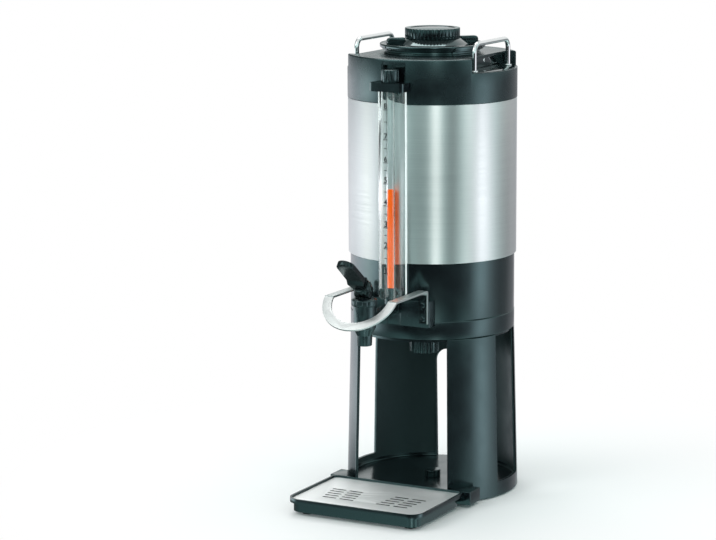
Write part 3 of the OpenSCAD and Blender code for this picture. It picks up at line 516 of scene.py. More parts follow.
def line(name: str, points: Sequence[Vector]) -> Piece:
    """Draws edges by extruding one vertex from point to point, and stays in edit mode.

    Args:
        name: name of the object.
        points: places in millimetres.

    Returns:
        The object, with all of it selected.
    """
    bpy.ops.object.select_all(action="DESELECT")
    bpy.ops.mesh.primitive_plane_add(size=MM)
    obj = label(bpy.context.object, name)
    open_mesh()
    bpy.ops.mesh.merge(type="CENTER")
    bpy.ops.transform.translate(value=points[0] * MM)
    for start, end in zip(points, points[1:]):
        extrude(*(end - start))
    bpy.ops.mesh.select_all(action="SELECT")
    return obj


def turned(name: str, corners: Sequence[Corner], at: Sequence[float] = (0, 0), axis: Axis = Axis.Z,
           steps: int = 96, closed: bool = False) -> Piece:
    """Spins an outline with rounded corners about an axis.

    Args:
        name: name of the object.
        corners: radius, height and rounding of each corner.
        at: place of the axis across its direction.
        axis: direction of the axis.
        steps: edges round the axis.
        closed: whether the outline closes on itself, off the axis, or has its two ends on the axis.

    Returns:
        The turned object.
    """
    points = rounded(corners, closed, 4)
    if closed:
        points.append(points[0])
    obj = line(name, [axis.place(height, at[0] + radius, at[1]) for radius, height in points])
    bpy.ops.mesh.spin(steps=steps, angle=math.tau, center=axis.place(0, *at) * MM, axis=axis.value,
                      use_auto_merge=True)
    close_mesh()
    return obj


def ring(name: str, corners: Sequence[Corner], at: Sequence[float] = (0, 0), steps: int = 96) -> Piece:
    """Turns a closed outline that stays off an upright axis."""
    return turned(name, corners, at, Axis.Z, steps, True)


def rod(name: str, radius: float, low: float, high: float, at: Sequence[float] = (0, 0), axis: Axis = Axis.Z,
        steps: int = 48) -> Piece:
    """Turns a plain rod, used for cutting and joining."""
    corners = [(0, low, 0), (radius, low, 0), (radius, high, 0), (0, high, 0)]
    return turned(name, corners, at, axis, steps)


def slab(name: str, outline: Sequence[Point], low: float, high: float, axis: Axis = Axis.Z) -> Piece:
    """Fills a flat outline and extrudes it.

    Args:
        name: name of the object.
        outline: points across the axis, (x, y), (x, z) or (y, z).
        low: start along the axis.
        high: end along the axis.
        axis: direction of the extrusion.

    Returns:
        The extruded object.
    """
    obj = line(name, [axis.place(low, u, v) for u, v in outline])
    bpy.ops.mesh.edge_face_add()
    extrude(*(Vector(axis.value) * (high - low)))
    close_mesh()
    return obj


def modify(obj: Piece, kind: str, **settings: object) -> None:
    """Adds a modifier with settings and applies it.

    Args:
        obj: object that is changed.
        kind: type of the modifier.
        settings: properties of the modifier.
    """
    pick(obj)
    bpy.ops.object.modifier_add(type=kind)
    modifier = obj.modifiers[-1]
    for key, value in settings.items():
        setattr(modifier, key, value)
    bpy.ops.object.modifier_apply(modifier=modifier.name)


def combine(obj: Piece, mode: Mode, *tools: Piece) -> Piece:
    """Cuts, joins or intersects an object with tools, which are then deleted.

    Args:
        obj: object that is changed.
        mode: how it is combined.
        tools: objects to combine it with.

    Returns:
        The changed object.
    """
    for tool in tools:
        modify(obj, "BOOLEAN", operation=mode.value, object=tool, solver="EXACT")
        pick(tool)
        bpy.ops.object.delete()
    return obj


def soften(obj: Piece, width: float, segments: int = 3) -> Piece:
    """Rounds the sharp edges of an object and shades it smooth.

    Args:
        obj: object that is changed.
        width: width of the rounding in millimetres, 0 for none.
        segments: faces across the rounding.

    Returns:
        The changed object.
    """
    if width > 0:
        modify(obj, "WELD", merge_threshold=2e-6)
        modify(obj, "BEVEL", width=width * MM, segments=segments, limit_method="ANGLE",
               angle_limit=ROUND_ANGLE, use_clamp_overlap=True)
    pick(obj)
    bpy.ops.object.shade_smooth_by_angle(angle=SMOOTH_ANGLE)
    return obj


def tilt(obj: Piece, degrees: float, place: Corner) -> None:
    """Leans an object forward about the X axis and then moves it.

    Args:
        obj: object modelled at the origin.
        degrees: angle of the lean.
        place: step to its place in millimetres.
    """
    pick(obj)
    open_mesh()
    bpy.ops.transform.rotate(value=-math.radians(degrees), orient_axis="X", center_override=(0, 0, 0))
    bpy.ops.transform.translate(value=Vector(place) * MM)
    bpy.ops.object.mode_set(mode="OBJECT")


def repeat(tool: Piece, places: Sequence[Sequence[float]]) -> list[Piece]:
    """Copies an object, each copy with its own mesh, and puts the copies in place.

    Args:
        tool: object modelled at the origin, used as the first copy.
        places: x, y, z and turn about Z in degrees of each copy.

    Returns:
        All copies, with their places in their meshes.
    """
    made = [tool]
    for _ in places[1:]:
        pick(tool)
        bpy.ops.object.duplicate(linked=False)
        made.append(bpy.context.object)
    for obj, (x, y, z, turn) in zip(made, places):
        obj.location = Vector((x, y, z)) * MM
        obj.rotation_euler.z = math.radians(turn)
    settle(*made)
    return made


def join(name: str, objs: Sequence[Piece]) -> Piece:
    """Joins separate solids into one object.

    Args:
        name: name of the joined object.
        objs: the solids.

    Returns:
        The joined object.
    """
    pick(*objs)
    if len(objs) > 1:
        bpy.ops.object.join()
    return label(objs[0], name)


def knurl(obj: Piece, groove: Piece, count: int, at: Sequence[float] = (0, 0), first: float = 0.0) -> None:
    """Cuts copies of a groove, spaced evenly round an upright axis, into an object."""
    places = [(at[0], at[1], 0.0, first + 360 * i / count) for i in range(count)]
    combine(obj, Mode.CUT, join("grooves", repeat(groove, places)))


def wedge(name: str, first: float, last: float, reach: float, low: float, high: float) -> Piece:
    """Makes a slice of a round between two angles.

    Args:
        name: name of the object.
        first: angle in degrees from the front, positive towards the right.
        last: angle where the slice ends.
        reach: radius of the slice.
        low: its lower face.
        high: its upper face.

    Returns:
        The slice.
    """
    angles = [math.radians(first + (last - first) * i / 4) for i in range(5)]
    outline = [(0.0, 0.0)] + [(reach * math.sin(a), -reach * math.cos(a)) for a in angles]
    return slab(name, outline, low, high)


def coat(obj: Piece, finish: Finish) -> None:
    """Gives an object a finish in place of what it had."""
    obj.data.materials.clear()
    obj.data.materials.append(finish.make())


def dress(obj: Piece, finish: Finish, body: Body, *nodes: str) -> Piece:
    """Gives a piece its finish and its body, and hides the nodes of the model that it replaces.

    Args:
        obj: the finished piece.
        finish: finish of its surface.
        body: body that it moves with.
        nodes: nodes of the model that it replaces.

    Returns:
        The piece.
    """
    coat(obj, finish)
    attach(obj, body.value)
    if nodes:
        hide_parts(*nodes)
    LOG.info("%s: %s on %s", obj.name, finish.name, body.value)
    return obj


# Sub-assemblies


@dataclass
class Stand:
    """Windowed stand with its collar, clamp nut and centre knob."""

    foot_r: float = 118.5
    collar_r: float = 112.8
    wall: float = 4.0
    z_base: float = 1.5
    z_floor: float = 9.5
    z_collar: float = 226.5
    z_cup: float = 251.0
    z_deck: float = 228.5
    z_over: float = 260.0
    front_half: float = 37.0
    side_from: float = 76.0
    side_to: float = 108.0
    sill: float = 21.5
    rear_half: float = 46.0
    rear_top: float = 167.5
    rear_corner: float = 16.0
    rear_from: float = 40.0
    rear_to: float = 160.0
    front_edge: float = -99.44
    edge_far: float = -200.0
    edge_half: float = 150.0
    edge_low: float = -5.0
    edge_top: float = 12.0
    clamp_y: float = -25.0
    clamp_r: float = 20.0
    clamp_bore: float = 6.05
    clamp_low: float = 192.5
    clamp_high: float = 226.5
    clamp_ribs: int = 24
    knob_r: float = 11.0
    knob_bore: float = 5.05
    knob_top: float = 19.5
    knob_ribs: int = 16

    def build(self) -> None:
        """Builds all pieces of the stand."""
        self.shell()
        self.collar()
        self.knobs()

    def shell(self) -> None:
        """Builds the legs, sills and floor plate as one moulding."""
        inner = self.foot_r - self.wall
        under = self.z_floor - self.wall
        top = self.z_collar - 0.6
        body = turned("stand_moulding", [
            (0, under, 0), (inner, under, 0), (inner, self.z_base, 0), (self.foot_r, self.z_base, 1.0),
            (self.collar_r, top, 0.8), (self.collar_r - self.wall, top, 0), (inner - 0.2, self.z_floor, 1.5),
            (0, self.z_floor, 0)], steps=180)
        reach = 2 * self.foot_r
        cuts = [wedge("front_cut", -self.front_half, self.front_half, reach, self.z_floor, self.z_over)]
        for side in SIDES:
            first, last = side * self.side_from, side * self.side_to
            cuts.append(wedge("side_cut", first, last, reach, self.sill, self.z_over))
        half, corner, low, head = self.rear_half, self.rear_corner, self.z_floor, self.rear_top
        window = rounded([(-half, low, 0), (half, low, 0), (half, head, corner), (-half, head, corner)])
        cuts.append(slab("rear_cut", window, self.rear_from, self.rear_to, Axis.Y))
        edge = rectangle(-self.edge_half, self.edge_far, self.edge_half, self.front_edge, 1)
        cuts.append(slab("edge_cut", edge, self.edge_low, self.edge_top))
        dress(soften(combine(body, Mode.CUT, *cuts), 1.0), LEG_ABS, Body.STAND, "stand_shell")

    def collar(self) -> None:
        """Builds the collar with its deck."""
        r, low, deck, top = self.collar_r, self.z_collar, self.z_deck, self.z_cup
        fit, foot = r - self.wall - 0.15, low - 4
        collar = turned("stand_collar_moulding", [
            (0, deck, 0), (r - 8, deck, 0), (r - 8, foot, 0), (fit, foot, 0), (fit, low + 0.2, 0),
            (r, low + 0.2, 0.7), (r, top, 1.2), (r - 4, top, 0.5), (r - 4, deck + 5, 0), (0, deck + 5, 0)],
            steps=180)
        dress(soften(collar, 0), STAND_ABS, Body.STAND, "stand_collar")

    def knobs(self) -> None:
        """Builds the ribbed clamp nut and the knob on the floor plate."""
        r, bore, low, high = self.clamp_r, self.clamp_bore, self.clamp_low, self.clamp_high
        nut = ring("clamp_knob_ribbed", [
            (bore, low + 2, 0), (r - 6, low + 2, 0), (r - 6, low, 0), (r, low, 1.5), (r, high, 1.5),
            (bore, high, 0)], (0, self.clamp_y), 144)
        groove = rod("groove", 1.8, low - 1, high + 1, (r + 0.8, 0), steps=14)
        knurl(nut, groove, self.clamp_ribs, (0, self.clamp_y))
        dress(soften(nut, 0.4, 2), SATIN_ABS, Body.CLAMP_KNOB, "clamp_nut")
        r, bore, low, high = self.knob_r, self.knob_bore, self.z_floor, self.knob_top
        knob = turned("floor_knob_ribbed", [
            (0, high - 1.8, 0), (bore, high - 1.8, 0), (bore, low, 0), (r, low, 0.6), (r, high, 1.5),
            (0, high, 0)])
        knurl(knob, rod("groove", 1.2, low - 1.5, high + 1.5, (r + 0.6, 0), steps=12), self.knob_ribs)
        dress(soften(knob, 0.3, 2), GLOSS_ABS, Body.STAND, "foot_knob")


@dataclass
class DripTray:
    """Drip tray with its slotted grid and the two blocks that tie it to the stand."""

    back: float = -101.04
    front: float = -238.54
    half: float = 100.0
    under: float = 5.0
    rim: float = 23.5
    lip: float = 17.3
    lip_out: float = 5.0
    wall: float = 2.5
    corner: float = 20.0
    back_corner: float = 10.0
    grid_seat: float = 19.3
    grid_top: float = 20.5
    peg_x: float = 85.5
    peg_z: float = 12.5
    peg_r: float = 3.0
    peg_tip: float = -106.24
    peg_root: float = -99.0
    dimple_r: float = 2.5
    bracket_in: float = 75.5
    bracket_out: float = 107.5
    bracket_front: float = -100.24
    bracket_back: float = -68.74
    bracket_low: float = 4.5
    bracket_top: float = 22.5
    skin_foot_r: float = 118.65
    skin_top_r: float = 112.95
    skin_top: float = 226.5
    slot_len: float = 21.0
    slot_w: float = 3.2
    slot_pitch: float = 10.2
    slot_rows: int = 5
    slot_splay: float = 1.75
    slot_from: float = 17.0
    slot_step: float = 26.0
    slot_shift: float = 9.0

    def build(self) -> None:
        """Builds all pieces of the tray."""
        self.tray()
        self.grid()
        self.brackets()

    def outline(self, inset: float) -> list[Point]:
        """Returns the rim's outline, or one that lies inside it.

        Args:
            inset: distance inside the rim.

        Returns:
            The points of the outline.
        """
        half = self.half - inset
        front, back = self.front + inset, self.back - inset
        near, far = self.corner - inset, self.back_corner - inset
        corners = [(-half, front, near), (half, front, near), (half, back, far), (-half, back, far)]
        return rounded(corners, steps=12)

    def tub(self, inset: float, back: float) -> list[Point]:
        """Returns the outline of the tray's tub, inside the rim by the inset and up to a back edge."""
        half = self.half - inset
        return rectangle(-half, self.front + inset, half, self.back - back, self.corner - inset, 10)

    def slot_outline(self, inset: float) -> list[Point]:
        """Returns a slot's outline from the origin along X, or one that lies inside it by the inset."""
        half = self.slot_w / 2 - inset
        return rectangle(inset, -half, self.slot_len - inset, half, half - 0.01, 5)

    def tray(self) -> None:
        """Builds the tray: a tub, a wider lip, a well, a seat for the grid and a dimple in each side."""
        tray = slab("tray_moulding", self.outline(0), self.lip, self.rim)
        combine(tray, Mode.ADD, slab("tub", self.tub(self.lip_out, 3), self.under, self.lip + 1))
        well = self.tub(self.lip_out + self.wall, 3 + self.wall)
        cuts = [slab("well", well, self.under + self.wall, self.rim + 5),
                slab("seat", self.outline(self.wall), self.grid_seat, self.rim + 6)]
        for side in SIDES:
            peg = (side * self.peg_x, self.peg_z)
            cuts.append(rod("peg_hole", self.peg_r + 0.4, self.back - 11, self.back + 5, peg, Axis.Y, 24))
            face, deep = side * (self.half - self.lip_out), self.dimple_r / 2
            dimple = (self.back - 13, self.peg_z + 1)
            cuts.append(rod("dimple", self.dimple_r, face - deep, face + deep, dimple, Axis.X, 24))
        dress(soften(combine(tray, Mode.CUT, *cuts), 1.15), STAND_ABS, Body.TRAY, "drip_tray")

    def grid(self) -> None:
        """Builds the grid: a sheet with two groups of slots on each side, whose punched walls are painted
        dark as painted shade.
        """
        low, top = self.grid_seat, self.grid_top
        sheet = slab("grid_sheet", self.outline(self.wall + 0.4), low, top)
        slot = slab("slot", self.slot_outline(0), low - 1, top + 1)
        middle = (self.front + self.back) / 2 - self.slot_shift
        first_y = middle - (self.slot_rows - 1) / 2 * self.slot_pitch
        places = []
        for row in range(self.slot_rows):
            for group in (0, 1):
                x = self.slot_from + group * self.slot_step + row * self.slot_splay
                y = first_y + row * self.slot_pitch
                places += [(x, y, 0, 0), (-x, y, 0, 180)]
        combine(sheet, Mode.CUT, join("slots", repeat(slot, places)))
        dress(soften(sheet, 0.15, 2), GRID_STEEL, Body.GRID, "drip_grid")
        # A thin near-black lining on each slot's walls: painted shade inside the slots.
        wall = slab("slot_wall", self.slot_outline(-0.05), low + 0.1, top + 0.08)
        combine(wall, Mode.CUT, slab("gap", self.slot_outline(0.5), low - 1, top + 1))
        painted_shade_walls = join("slot_walls", repeat(soften(wall, 0.1, 1), places))
        coat(painted_shade_walls, PAINTED_SHADE_EDGE)
        join("grid_sheet", [sheet, painted_shade_walls])

    def brackets(self) -> None:
        """Builds the two blocks with their pegs; the blocks follow the stand's wall."""
        blocks = []
        for side in SIDES:
            x0, x1 = sorted((side * self.bracket_in, side * self.bracket_out))
            foot = rectangle(x0, self.bracket_front, x1, self.bracket_back, 1.5)
            block = slab("bracket", foot, self.bracket_low, self.bracket_top)
            skin = turned("skin", [(0, 0, 0), (self.skin_foot_r, 0, 0), (self.skin_top_r, self.skin_top, 0),
                                   (0, self.skin_top, 0)], steps=180)
            combine(block, Mode.CUT, skin)
            r, tip, root = self.peg_r, self.peg_tip, self.peg_root
            peg = turned("peg", [(0, tip, 0), (r, tip, 0.8), (r, root, 0), (0, root, 0)],
                         (side * self.peg_x, self.peg_z), Axis.Y, 32)
            blocks += [soften(block, 0.9), soften(peg, 0)]
        dress(join("bracket_blocks", blocks), GLOSS_ABS, Body.STAND, "tray_brackets")


@dataclass
class Vessel:
    """Lower cup, steel jacket, top shell with two notches, handles and neck ring."""

    cup_r: float = 112.5
    body_r: float = 115.0
    sheet: float = 0.8
    shell_r: float = 115.4
    fit_r: float = 114.05
    z_cup: float = 251.0
    z_jacket: float = 330.0
    z_shell: float = 542.5
    z_top: float = 602.0
    z_ledge: float = 583.0
    z_over: float = 660.0
    z_outlet: float = 269.0
    outlet_r: float = 8.15
    bore_front: float = -140.0
    bore_back: float = -60.0
    niche_y: float = -107.5
    niche_half: float = 18.0
    niche_low: float = 572.5
    niche_high: float = 594.5
    notch_x: float = 80.0
    notch_y: float = 68.0
    panel_half: float = 60.0
    liner_half: float = 66.0
    neck_r: float = 60.15
    step_r: float = 66.0
    handle_x: float = 88.45
    handle_y: float = 52.0
    handle_d: float = 6.5
    bail_hole: float = 5.4
    bushing_r: float = 5.25
    bar_z: float = 620.0
    bend: float = 12.0

    def build(self) -> None:
        """Builds all pieces of the vessel."""
        self.cup()
        self.jacket()
        self.top_shell()
        self.notch_liners()
        self.panel_screws()
        self.neck_ring()
        self.handles()

    def cup(self) -> None:
        """Builds the lower cup with its stepped upper edge."""
        r, fit, low, step = self.cup_r, self.fit_r, self.z_cup, self.z_jacket + 0.5
        cup = turned("cup_moulding", [
            (0, low, 0), (r, low, 0.8), (r, step, 0), (fit, step, 0), (fit, step + 8, 0),
            (fit - 3, step + 8, 0), (fit - 3, step + 3, 0), (r - 26, step + 3, 0), (r - 26, step, 0),
            (r - 3, step, 0), (r - 3, low + 4, 0), (0, low + 4, 0)], steps=180)
        bore = rod("bore", self.outlet_r, self.bore_front, self.bore_back, (0, self.z_outlet), Axis.Y)
        combine(cup, Mode.CUT, bore)
        dress(soften(cup, 0), GLOSS_ABS, Body.STAND, "lower_cup")

    def jacket(self) -> None:
        """Builds the jacket: a sheet tube with both edges turned in."""
        r, inner, low, top = self.body_r, self.body_r - self.sheet, self.z_jacket, self.z_shell
        sheet = [(inner, low, 0.3), (r, low, 0.5), (r, top, 0.5), (inner, top, 0.3)]
        jacket = ring("jacket_sheet", sheet, steps=200)
        dress(soften(jacket, 0), JACKET_STEEL, Body.STAND, "outer_jacket")

    def top_shell(self) -> None:
        """Builds the shell, cuts its notches, their wall recesses and the niche of the gauge cap."""
        r, fit, neck, low, top = self.shell_r, self.fit_r, self.neck_r, self.z_shell, self.z_top
        shell = ring("shell_moulding", [
            (neck, low - 8, 0), (fit, low - 8, 0), (fit, low, 0), (r, low, 0.6), (r, top, 2.0),
            (neck, top, 0)], steps=200)
        reach = 2 * self.notch_x
        cuts = []
        for side in SIDES:
            x0, x1 = sorted((side * self.notch_x, side * reach))
            notch = rectangle(x0, -self.notch_y, x1, self.notch_y, 3)
            cuts.append(slab("notch", notch, self.z_ledge, self.z_over))
        niche = rectangle(-self.niche_half, -reach, self.niche_half, self.niche_y, 3)
        cuts.append(slab("niche", niche, self.niche_low, self.niche_high))
        soften(combine(shell, Mode.CUT, *cuts), 1.2)
        half = self.panel_half
        recess = slab("recess", rectangle(-half, self.z_ledge + 2.5, half, top - 3, 2), -3, 3, Axis.X)
        combine(shell, Mode.CUT, *repeat(recess, [(side * self.notch_x, 0, 0, 0) for side in SIDES]))
        dress(soften(shell, 0), SATIN_ABS, Body.STAND, "top_shell")

    def notch_liners(self) -> None:
        """Builds the gloss panel in each notch's wall and the gloss plate on its ledge."""
        low, wall, half = self.z_ledge, self.notch_x, self.panel_half - 0.3
        plate = rectangle(wall + 0.2, -self.liner_half, self.shell_r, self.liner_half, 3)
        liner = slab("notch_liner", plate, low + 0.02, low + 0.6)
        combine(liner, Mode.KEEP, rod("rim", self.shell_r - 3, low - 1, low + 2, steps=160))
        for side in SIDES:
            at = (self.handle_x, side * self.handle_y)
            combine(liner, Mode.CUT, rod("hole", self.bail_hole, low - 1, low + 2, at, steps=40))
        soften(liner, 0.15, 2)
        panel = slab("notch_panel", rectangle(-half, low + 2.8, half, self.z_top - 3.3, 1.8),
                     wall - 2.9, wall - 1.2, Axis.X)
        liner = join("notch_liners", [liner, soften(panel, 0.4)])
        dress(join("notch_liners", repeat(liner, [(0, 0, 0, 0), (0, 0, 0, 180)])), LID_ABS, Body.STAND)

    def panel_screws(self) -> None:
        """Builds a small pan-head screw with a cross recess on each notch's panel."""
        head = turned("panel_screw", [
            (0, -3, 0), (1.6, -3, 0), (1.6, -1, 0), (2.8, -1, 0.2), (2.8, 0.2, 0.8), (0, 0.8, 0)],
            axis=Axis.X, steps=32)
        for along, across in ((0.5, 2.0), (2.0, 0.5)):
            recess = slab("recess", rectangle(-along, -across, along, across, 0.1, 2), 0.2, 2, Axis.X)
            combine(head, Mode.CUT, recess)
        x, z = self.notch_x - 1.1, self.z_ledge + 11.5
        screws = repeat(soften(head, 0), [(x, -2, z, 0), (-x, 2, z, 180)])
        dress(join("panel_screws", screws), CHROME, Body.STAND)

    def neck_ring(self) -> None:
        """Builds the stepped ring round the neck."""
        r, wide, rim, z = self.neck_r, self.step_r, self.step_r - 1.4, self.z_top
        collar = ring("neck_step", [
            (r, z, 0), (wide, z, 0.2), (wide, z + 2.4, 0.8), (rim, z + 2.4, 0.4), (rim, z + 5.5, 0.8),
            (r, z + 5.5, 0.4)], steps=144)
        dress(soften(collar, 0), LID_ABS, Body.STAND, "neck_ring")

    def bail(self) -> Piece:
        """Models one wire bail at x = 0 by extruding and spinning a round section.

        Returns:
            The bail.
        """
        low, bend_z, bend_y = self.z_ledge - 12, self.bar_z - self.bend, self.handle_y - self.bend
        bpy.ops.object.select_all(action="DESELECT")
        bpy.ops.mesh.primitive_circle_add(vertices=24, radius=self.handle_d / 2 * MM, fill_type="NGON")
        bail = label(bpy.context.object, "bail_left")
        open_mesh("FACE")
        bpy.ops.transform.translate(value=Vector((0, self.handle_y, low)) * MM)
        extrude(0, 0, bend_z - low)
        for y, run in ((bend_y, (0, -2 * bend_y, 0)), (-bend_y, (0, 0, low - bend_z))):
            middle = Vector((0, y, bend_z)) * MM
            bpy.ops.mesh.spin(steps=10, angle=-math.pi / 2, center=middle, axis=Axis.X.value)
            extrude(*run)
        close_mesh()
        return soften(bail, 0)

    def handles(self) -> None:
        """Builds both bails and their four bushings."""
        left, right = repeat(self.bail(), [(side * self.handle_x, 0, 0, 0) for side in SIDES])
        right.name = "bail_right"
        dress(left, CHROME, Body.STAND, "handle_left")
        dress(right, CHROME, Body.STAND, "handle_right")
        bore, r, low, top = self.handle_d / 2 + 0.15, self.bushing_r, self.z_ledge, self.z_ledge + 2.5
        bushing = ring("bushing", [(bore, low, 0), (r, low, 0.2), (r, top, 0.9), (bore, top, 0.3)], steps=32)
        places = [(x * self.handle_x, y * self.handle_y, 0, 0) for x in SIDES for y in SIDES]
        bushings = join("bail_bushings", repeat(soften(bushing, 0), places))
        dress(bushings, CHROME, Body.STAND, "handle_bushings")


@dataclass
class Lid:
    """Turning flange with a cone and two grip ears, and the knurled cap."""

    z_lid: float = 607.8
    z_flange: float = 615.0
    z_cone: float = 621.0
    z_cap: float = 621.4
    z_cap_top: float = 635.4
    lid_r: float = 71.5
    cone_r: float = 48.0
    cone_top_r: float = 38.0
    cap_r: float = 37.4
    pin_r: float = 8.05
    hub_r: float = 30.05
    stopper_r: float = 55.8
    ear_in: float = 40.0
    ear_angle: float = 45.0
    grooves: int = 40

    def build(self) -> None:
        """Builds all pieces of the lid that show."""
        self.flange()
        self.cap()

    def flange(self) -> None:
        """Builds the flange, its cone and its two grip ears."""
        r, stop, hub = self.lid_r, self.stopper_r, self.hub_r
        low, z, cone = self.z_lid, self.z_flange, self.z_cone
        flange = ring("lid_flange_moulding", [
            (hub, low + 4, 0), (stop, low + 4, 0), (stop, low, 0), (r - 2.5, low, 0.5),
            (r - 2.5, low + 2, 0), (r, low + 2, 0.7), (r, z, 1.4), (r - 5, z, 0.4), (r - 6, z - 0.8, 0.4),
            (self.cone_r + 2, z - 0.8, 1.5), (self.cone_top_r, cone, 0.8), (hub, cone, 0)], steps=160)
        top = z + 8
        ear = slab("ear", rounded([
            (self.ear_in, z - 1.5, 0), (r - 7, z - 1.5, 0), (r - 7, top, 4.5), (self.ear_in, top, 0)]),
            -4, 4, Axis.Y)
        combine(ear, Mode.CUT, rod("clearance", self.cap_r + 2, cone, top + 5, steps=96))
        ears = repeat(soften(ear, 1.0), [(0, 0, 0, self.ear_angle + turn) for turn in (0, 180)])
        dress(soften(combine(flange, Mode.ADD, *ears), 0), LID_ABS, Body.LID_RING, "lid_flange")

    def cap(self) -> None:
        """Builds the knurled cap with a smooth dished top and a bore for the plug's pin."""
        r, pin, low, top = self.cap_r, self.pin_r, self.z_cap, self.z_cap_top
        cap = turned("cap_knurled", [
            (0, top - 3.6, 0), (pin, top - 3.6, 0), (pin, low, 0), (r - 0.5, low, 0), (r, low + 1, 0.5),
            (r, top, 1.0), (r - 6, top, 0.5), (r - 7, top - 1, 0.5), (0, top - 1, 0)], steps=240)
        knurl(cap, rod("groove", 1.7, low - 1, top + 1, (r + 0.4, 0), steps=14), self.grooves)
        dress(soften(cap, 0.35, 2), LID_ABS, Body.CAP, "lid_cap")


@dataclass
class Faucet:
    """Housing, shank, faucet body, bonnet, lever and guard."""

    y: float = -197.0
    z_shank: float = 269.0
    z_spout: float = 233.0
    z_taper: float = 247.0
    z_barrel: float = 257.0
    z_bore: float = 261.0
    z_bonnet: float = 287.0
    z_bonnet_top: float = 296.5
    z_pin: float = 307.363
    body_r: float = 15.0
    bonnet_r: float = 17.0
    shank_r: float = 8.0
    shank_tail: float = -84.5
    bore_front: float = -140.0
    bore_back: float = -60.0
    mouth_r: float = 6.0
    thread_r: float = 13.0
    stem_bore: float = 3.05
    grips: int = 12
    gauge_y: float = -123.0
    z_socket: float = 288.0
    z_socket_top: float = 299.0
    socket_r: float = 8.5
    socket_bore: float = 5.65
    housing_half: float = 54.0
    housing_y: float = -116.75
    housing_back: float = -55.0
    housing_low: float = 246.0
    housing_top: float = 281.0
    cup_r: float = 112.65
    collar_r: float = 113.1
    collar_top: float = 251.15
    slot_half: float = 9.6
    web_y: float = -113.85
    lean: float = 52.0
    lever_len: float = 74.0
    lever_w: float = 24.0
    flutes: int = 14
    hub_half: float = 11.0
    cam_y: float = -2.75
    cam_z: float = -4.763
    guard_x: float = 46.75
    guard_w: float = 12.5
    guard_r: float = 53.0
    guard_t: float = 2.5
    guard_bend_y: float = -207.25
    z_arm: float = 297.0
    slope: float = 40.0
    screw_z: Sequence[float] = (277.0, 258.0)

    def build(self) -> None:
        """Builds all pieces of the faucet."""
        self.housing()
        self.shank()
        self.body()
        self.bonnet()
        self.lever()
        self.guard()
        self.tab_covers()
        self.screws()

    def housing(self) -> None:
        """Builds the block on the cup, with a slot for the shank."""
        half, slot, web = self.housing_half, self.slot_half, self.web_y
        block = slab("housing_moulding", rectangle(-half, self.housing_y, half, self.housing_back, 2.5),
                     self.housing_low, self.housing_top)
        wide, face = slot + 2.5, self.housing_y - 0.05
        outline = rounded([
            (-wide, face - 5, 0), (wide, face - 5, 0), (wide, face, 0), (slot, face, 2.4), (slot, web, 0.4),
            (-slot, web, 0.4), (-slot, face, 2.4), (-wide, face, 0)])
        below, over, at = self.housing_low - 15, self.housing_top + 15, (0, self.z_shank)
        combine(block, Mode.CUT, slab("slot", outline, below, over),
                rod("cup", self.cup_r, below, over, steps=180),
                rod("collar", self.collar_r, below, self.collar_top, steps=180),
                rod("bore", self.shank_r + 0.15, self.bore_front, self.bore_back, at, Axis.Y))
        dress(soften(block, 1.0), SATIN_ABS, Body.STAND, "faucet_housing")

    def shank(self) -> None:
        """Builds the shank with its collar and the upright socket of the gauge tube."""
        r, web, tail, end = self.shank_r, self.web_y, self.shank_tail, self.y + self.body_r - 2.5
        shank = turned("shank_moulding", [
            (0, end, 0), (r, end, 0), (r, web - 3, 0), (r + 1.2, web - 3, 0.5), (r + 1.2, web, 0),
            (r, web, 0), (r, tail, 0), (0, tail, 0)], (0, self.z_shank), Axis.Y, 64)
        r, bore, z, top = self.socket_r, self.socket_bore, self.z_socket, self.z_socket_top
        low = self.z_shank - r
        boss = turned("boss", [
            (0, low, 0), (r, low, r - 0.1), (r, z - 6, 0), (r + 1.1, z - 5, 0.5), (r + 1.1, z - 1, 0.5),
            (r, z, 0), (r, top, 1.0), (r - 1, top, 0), (r - 1, top - 3, 0), (bore, top - 3, 0), (bore, z, 0),
            (0, z, 0)], (0, self.gauge_y), steps=64)
        dress(soften(combine(shank, Mode.ADD, boss), 0), SATIN_ABS, Body.STAND, "faucet_shank")

    def body(self) -> None:
        """Builds the faucet's body: a tapered spout, a barrel and the collar on the shank."""
        r, thread, mouth, y, low = self.body_r, self.thread_r, self.mouth_r, self.y, self.z_spout
        step, top = self.z_bonnet - 0.2, self.z_bonnet_top - 5.2
        body = turned("faucet_moulding", [
            (0, self.z_bore, 0), (mouth, self.z_bore, 0), (mouth, low, 0.5), (9.8, low, 1.0),
            (10.4, self.z_taper, 2), (r, self.z_barrel, 3), (r, step, 0.8), (thread, step, 0),
            (thread, top, 0), (0, top, 0)], (0, y))
        sleeve = turned("sleeve", [
            (0, y + 5, 0), (10.5, y + 5, 0), (10.5, y + 25, 1.2), (8.05, y + 25, 0), (8.05, y + 14, 0),
            (0, y + 14, 0)], (0, self.z_shank), Axis.Y, 64)
        dress(soften(combine(body, Mode.ADD, sleeve), 0), SATIN_ABS, Body.STAND, "faucet_body")

    def bonnet(self) -> None:
        """Builds the bonnet with a finger-grip edge."""
        r, bore, fit = self.bonnet_r, self.stem_bore, self.thread_r + 0.15
        z, top, at = self.z_bonnet, self.z_bonnet_top, (0, self.y)
        bonnet = ring("bonnet_moulding", [
            (bore, z + 4.5, 0), (fit, z + 4.5, 0), (fit, z, 0), (r, z, 0.8), (r, top - 2, 1.2),
            (r - 3.5, top, 1.5), (bore, top, 0)], at)
        groove = rod("groove", 3.0, z - 1, top + 1, (r + 2.2, 0), steps=20)
        knurl(bonnet, groove, self.grips, at, 180 / self.grips)
        dress(soften(bonnet, 0.5, 2), SATIN_ABS, Body.STAND, "faucet_bonnet")

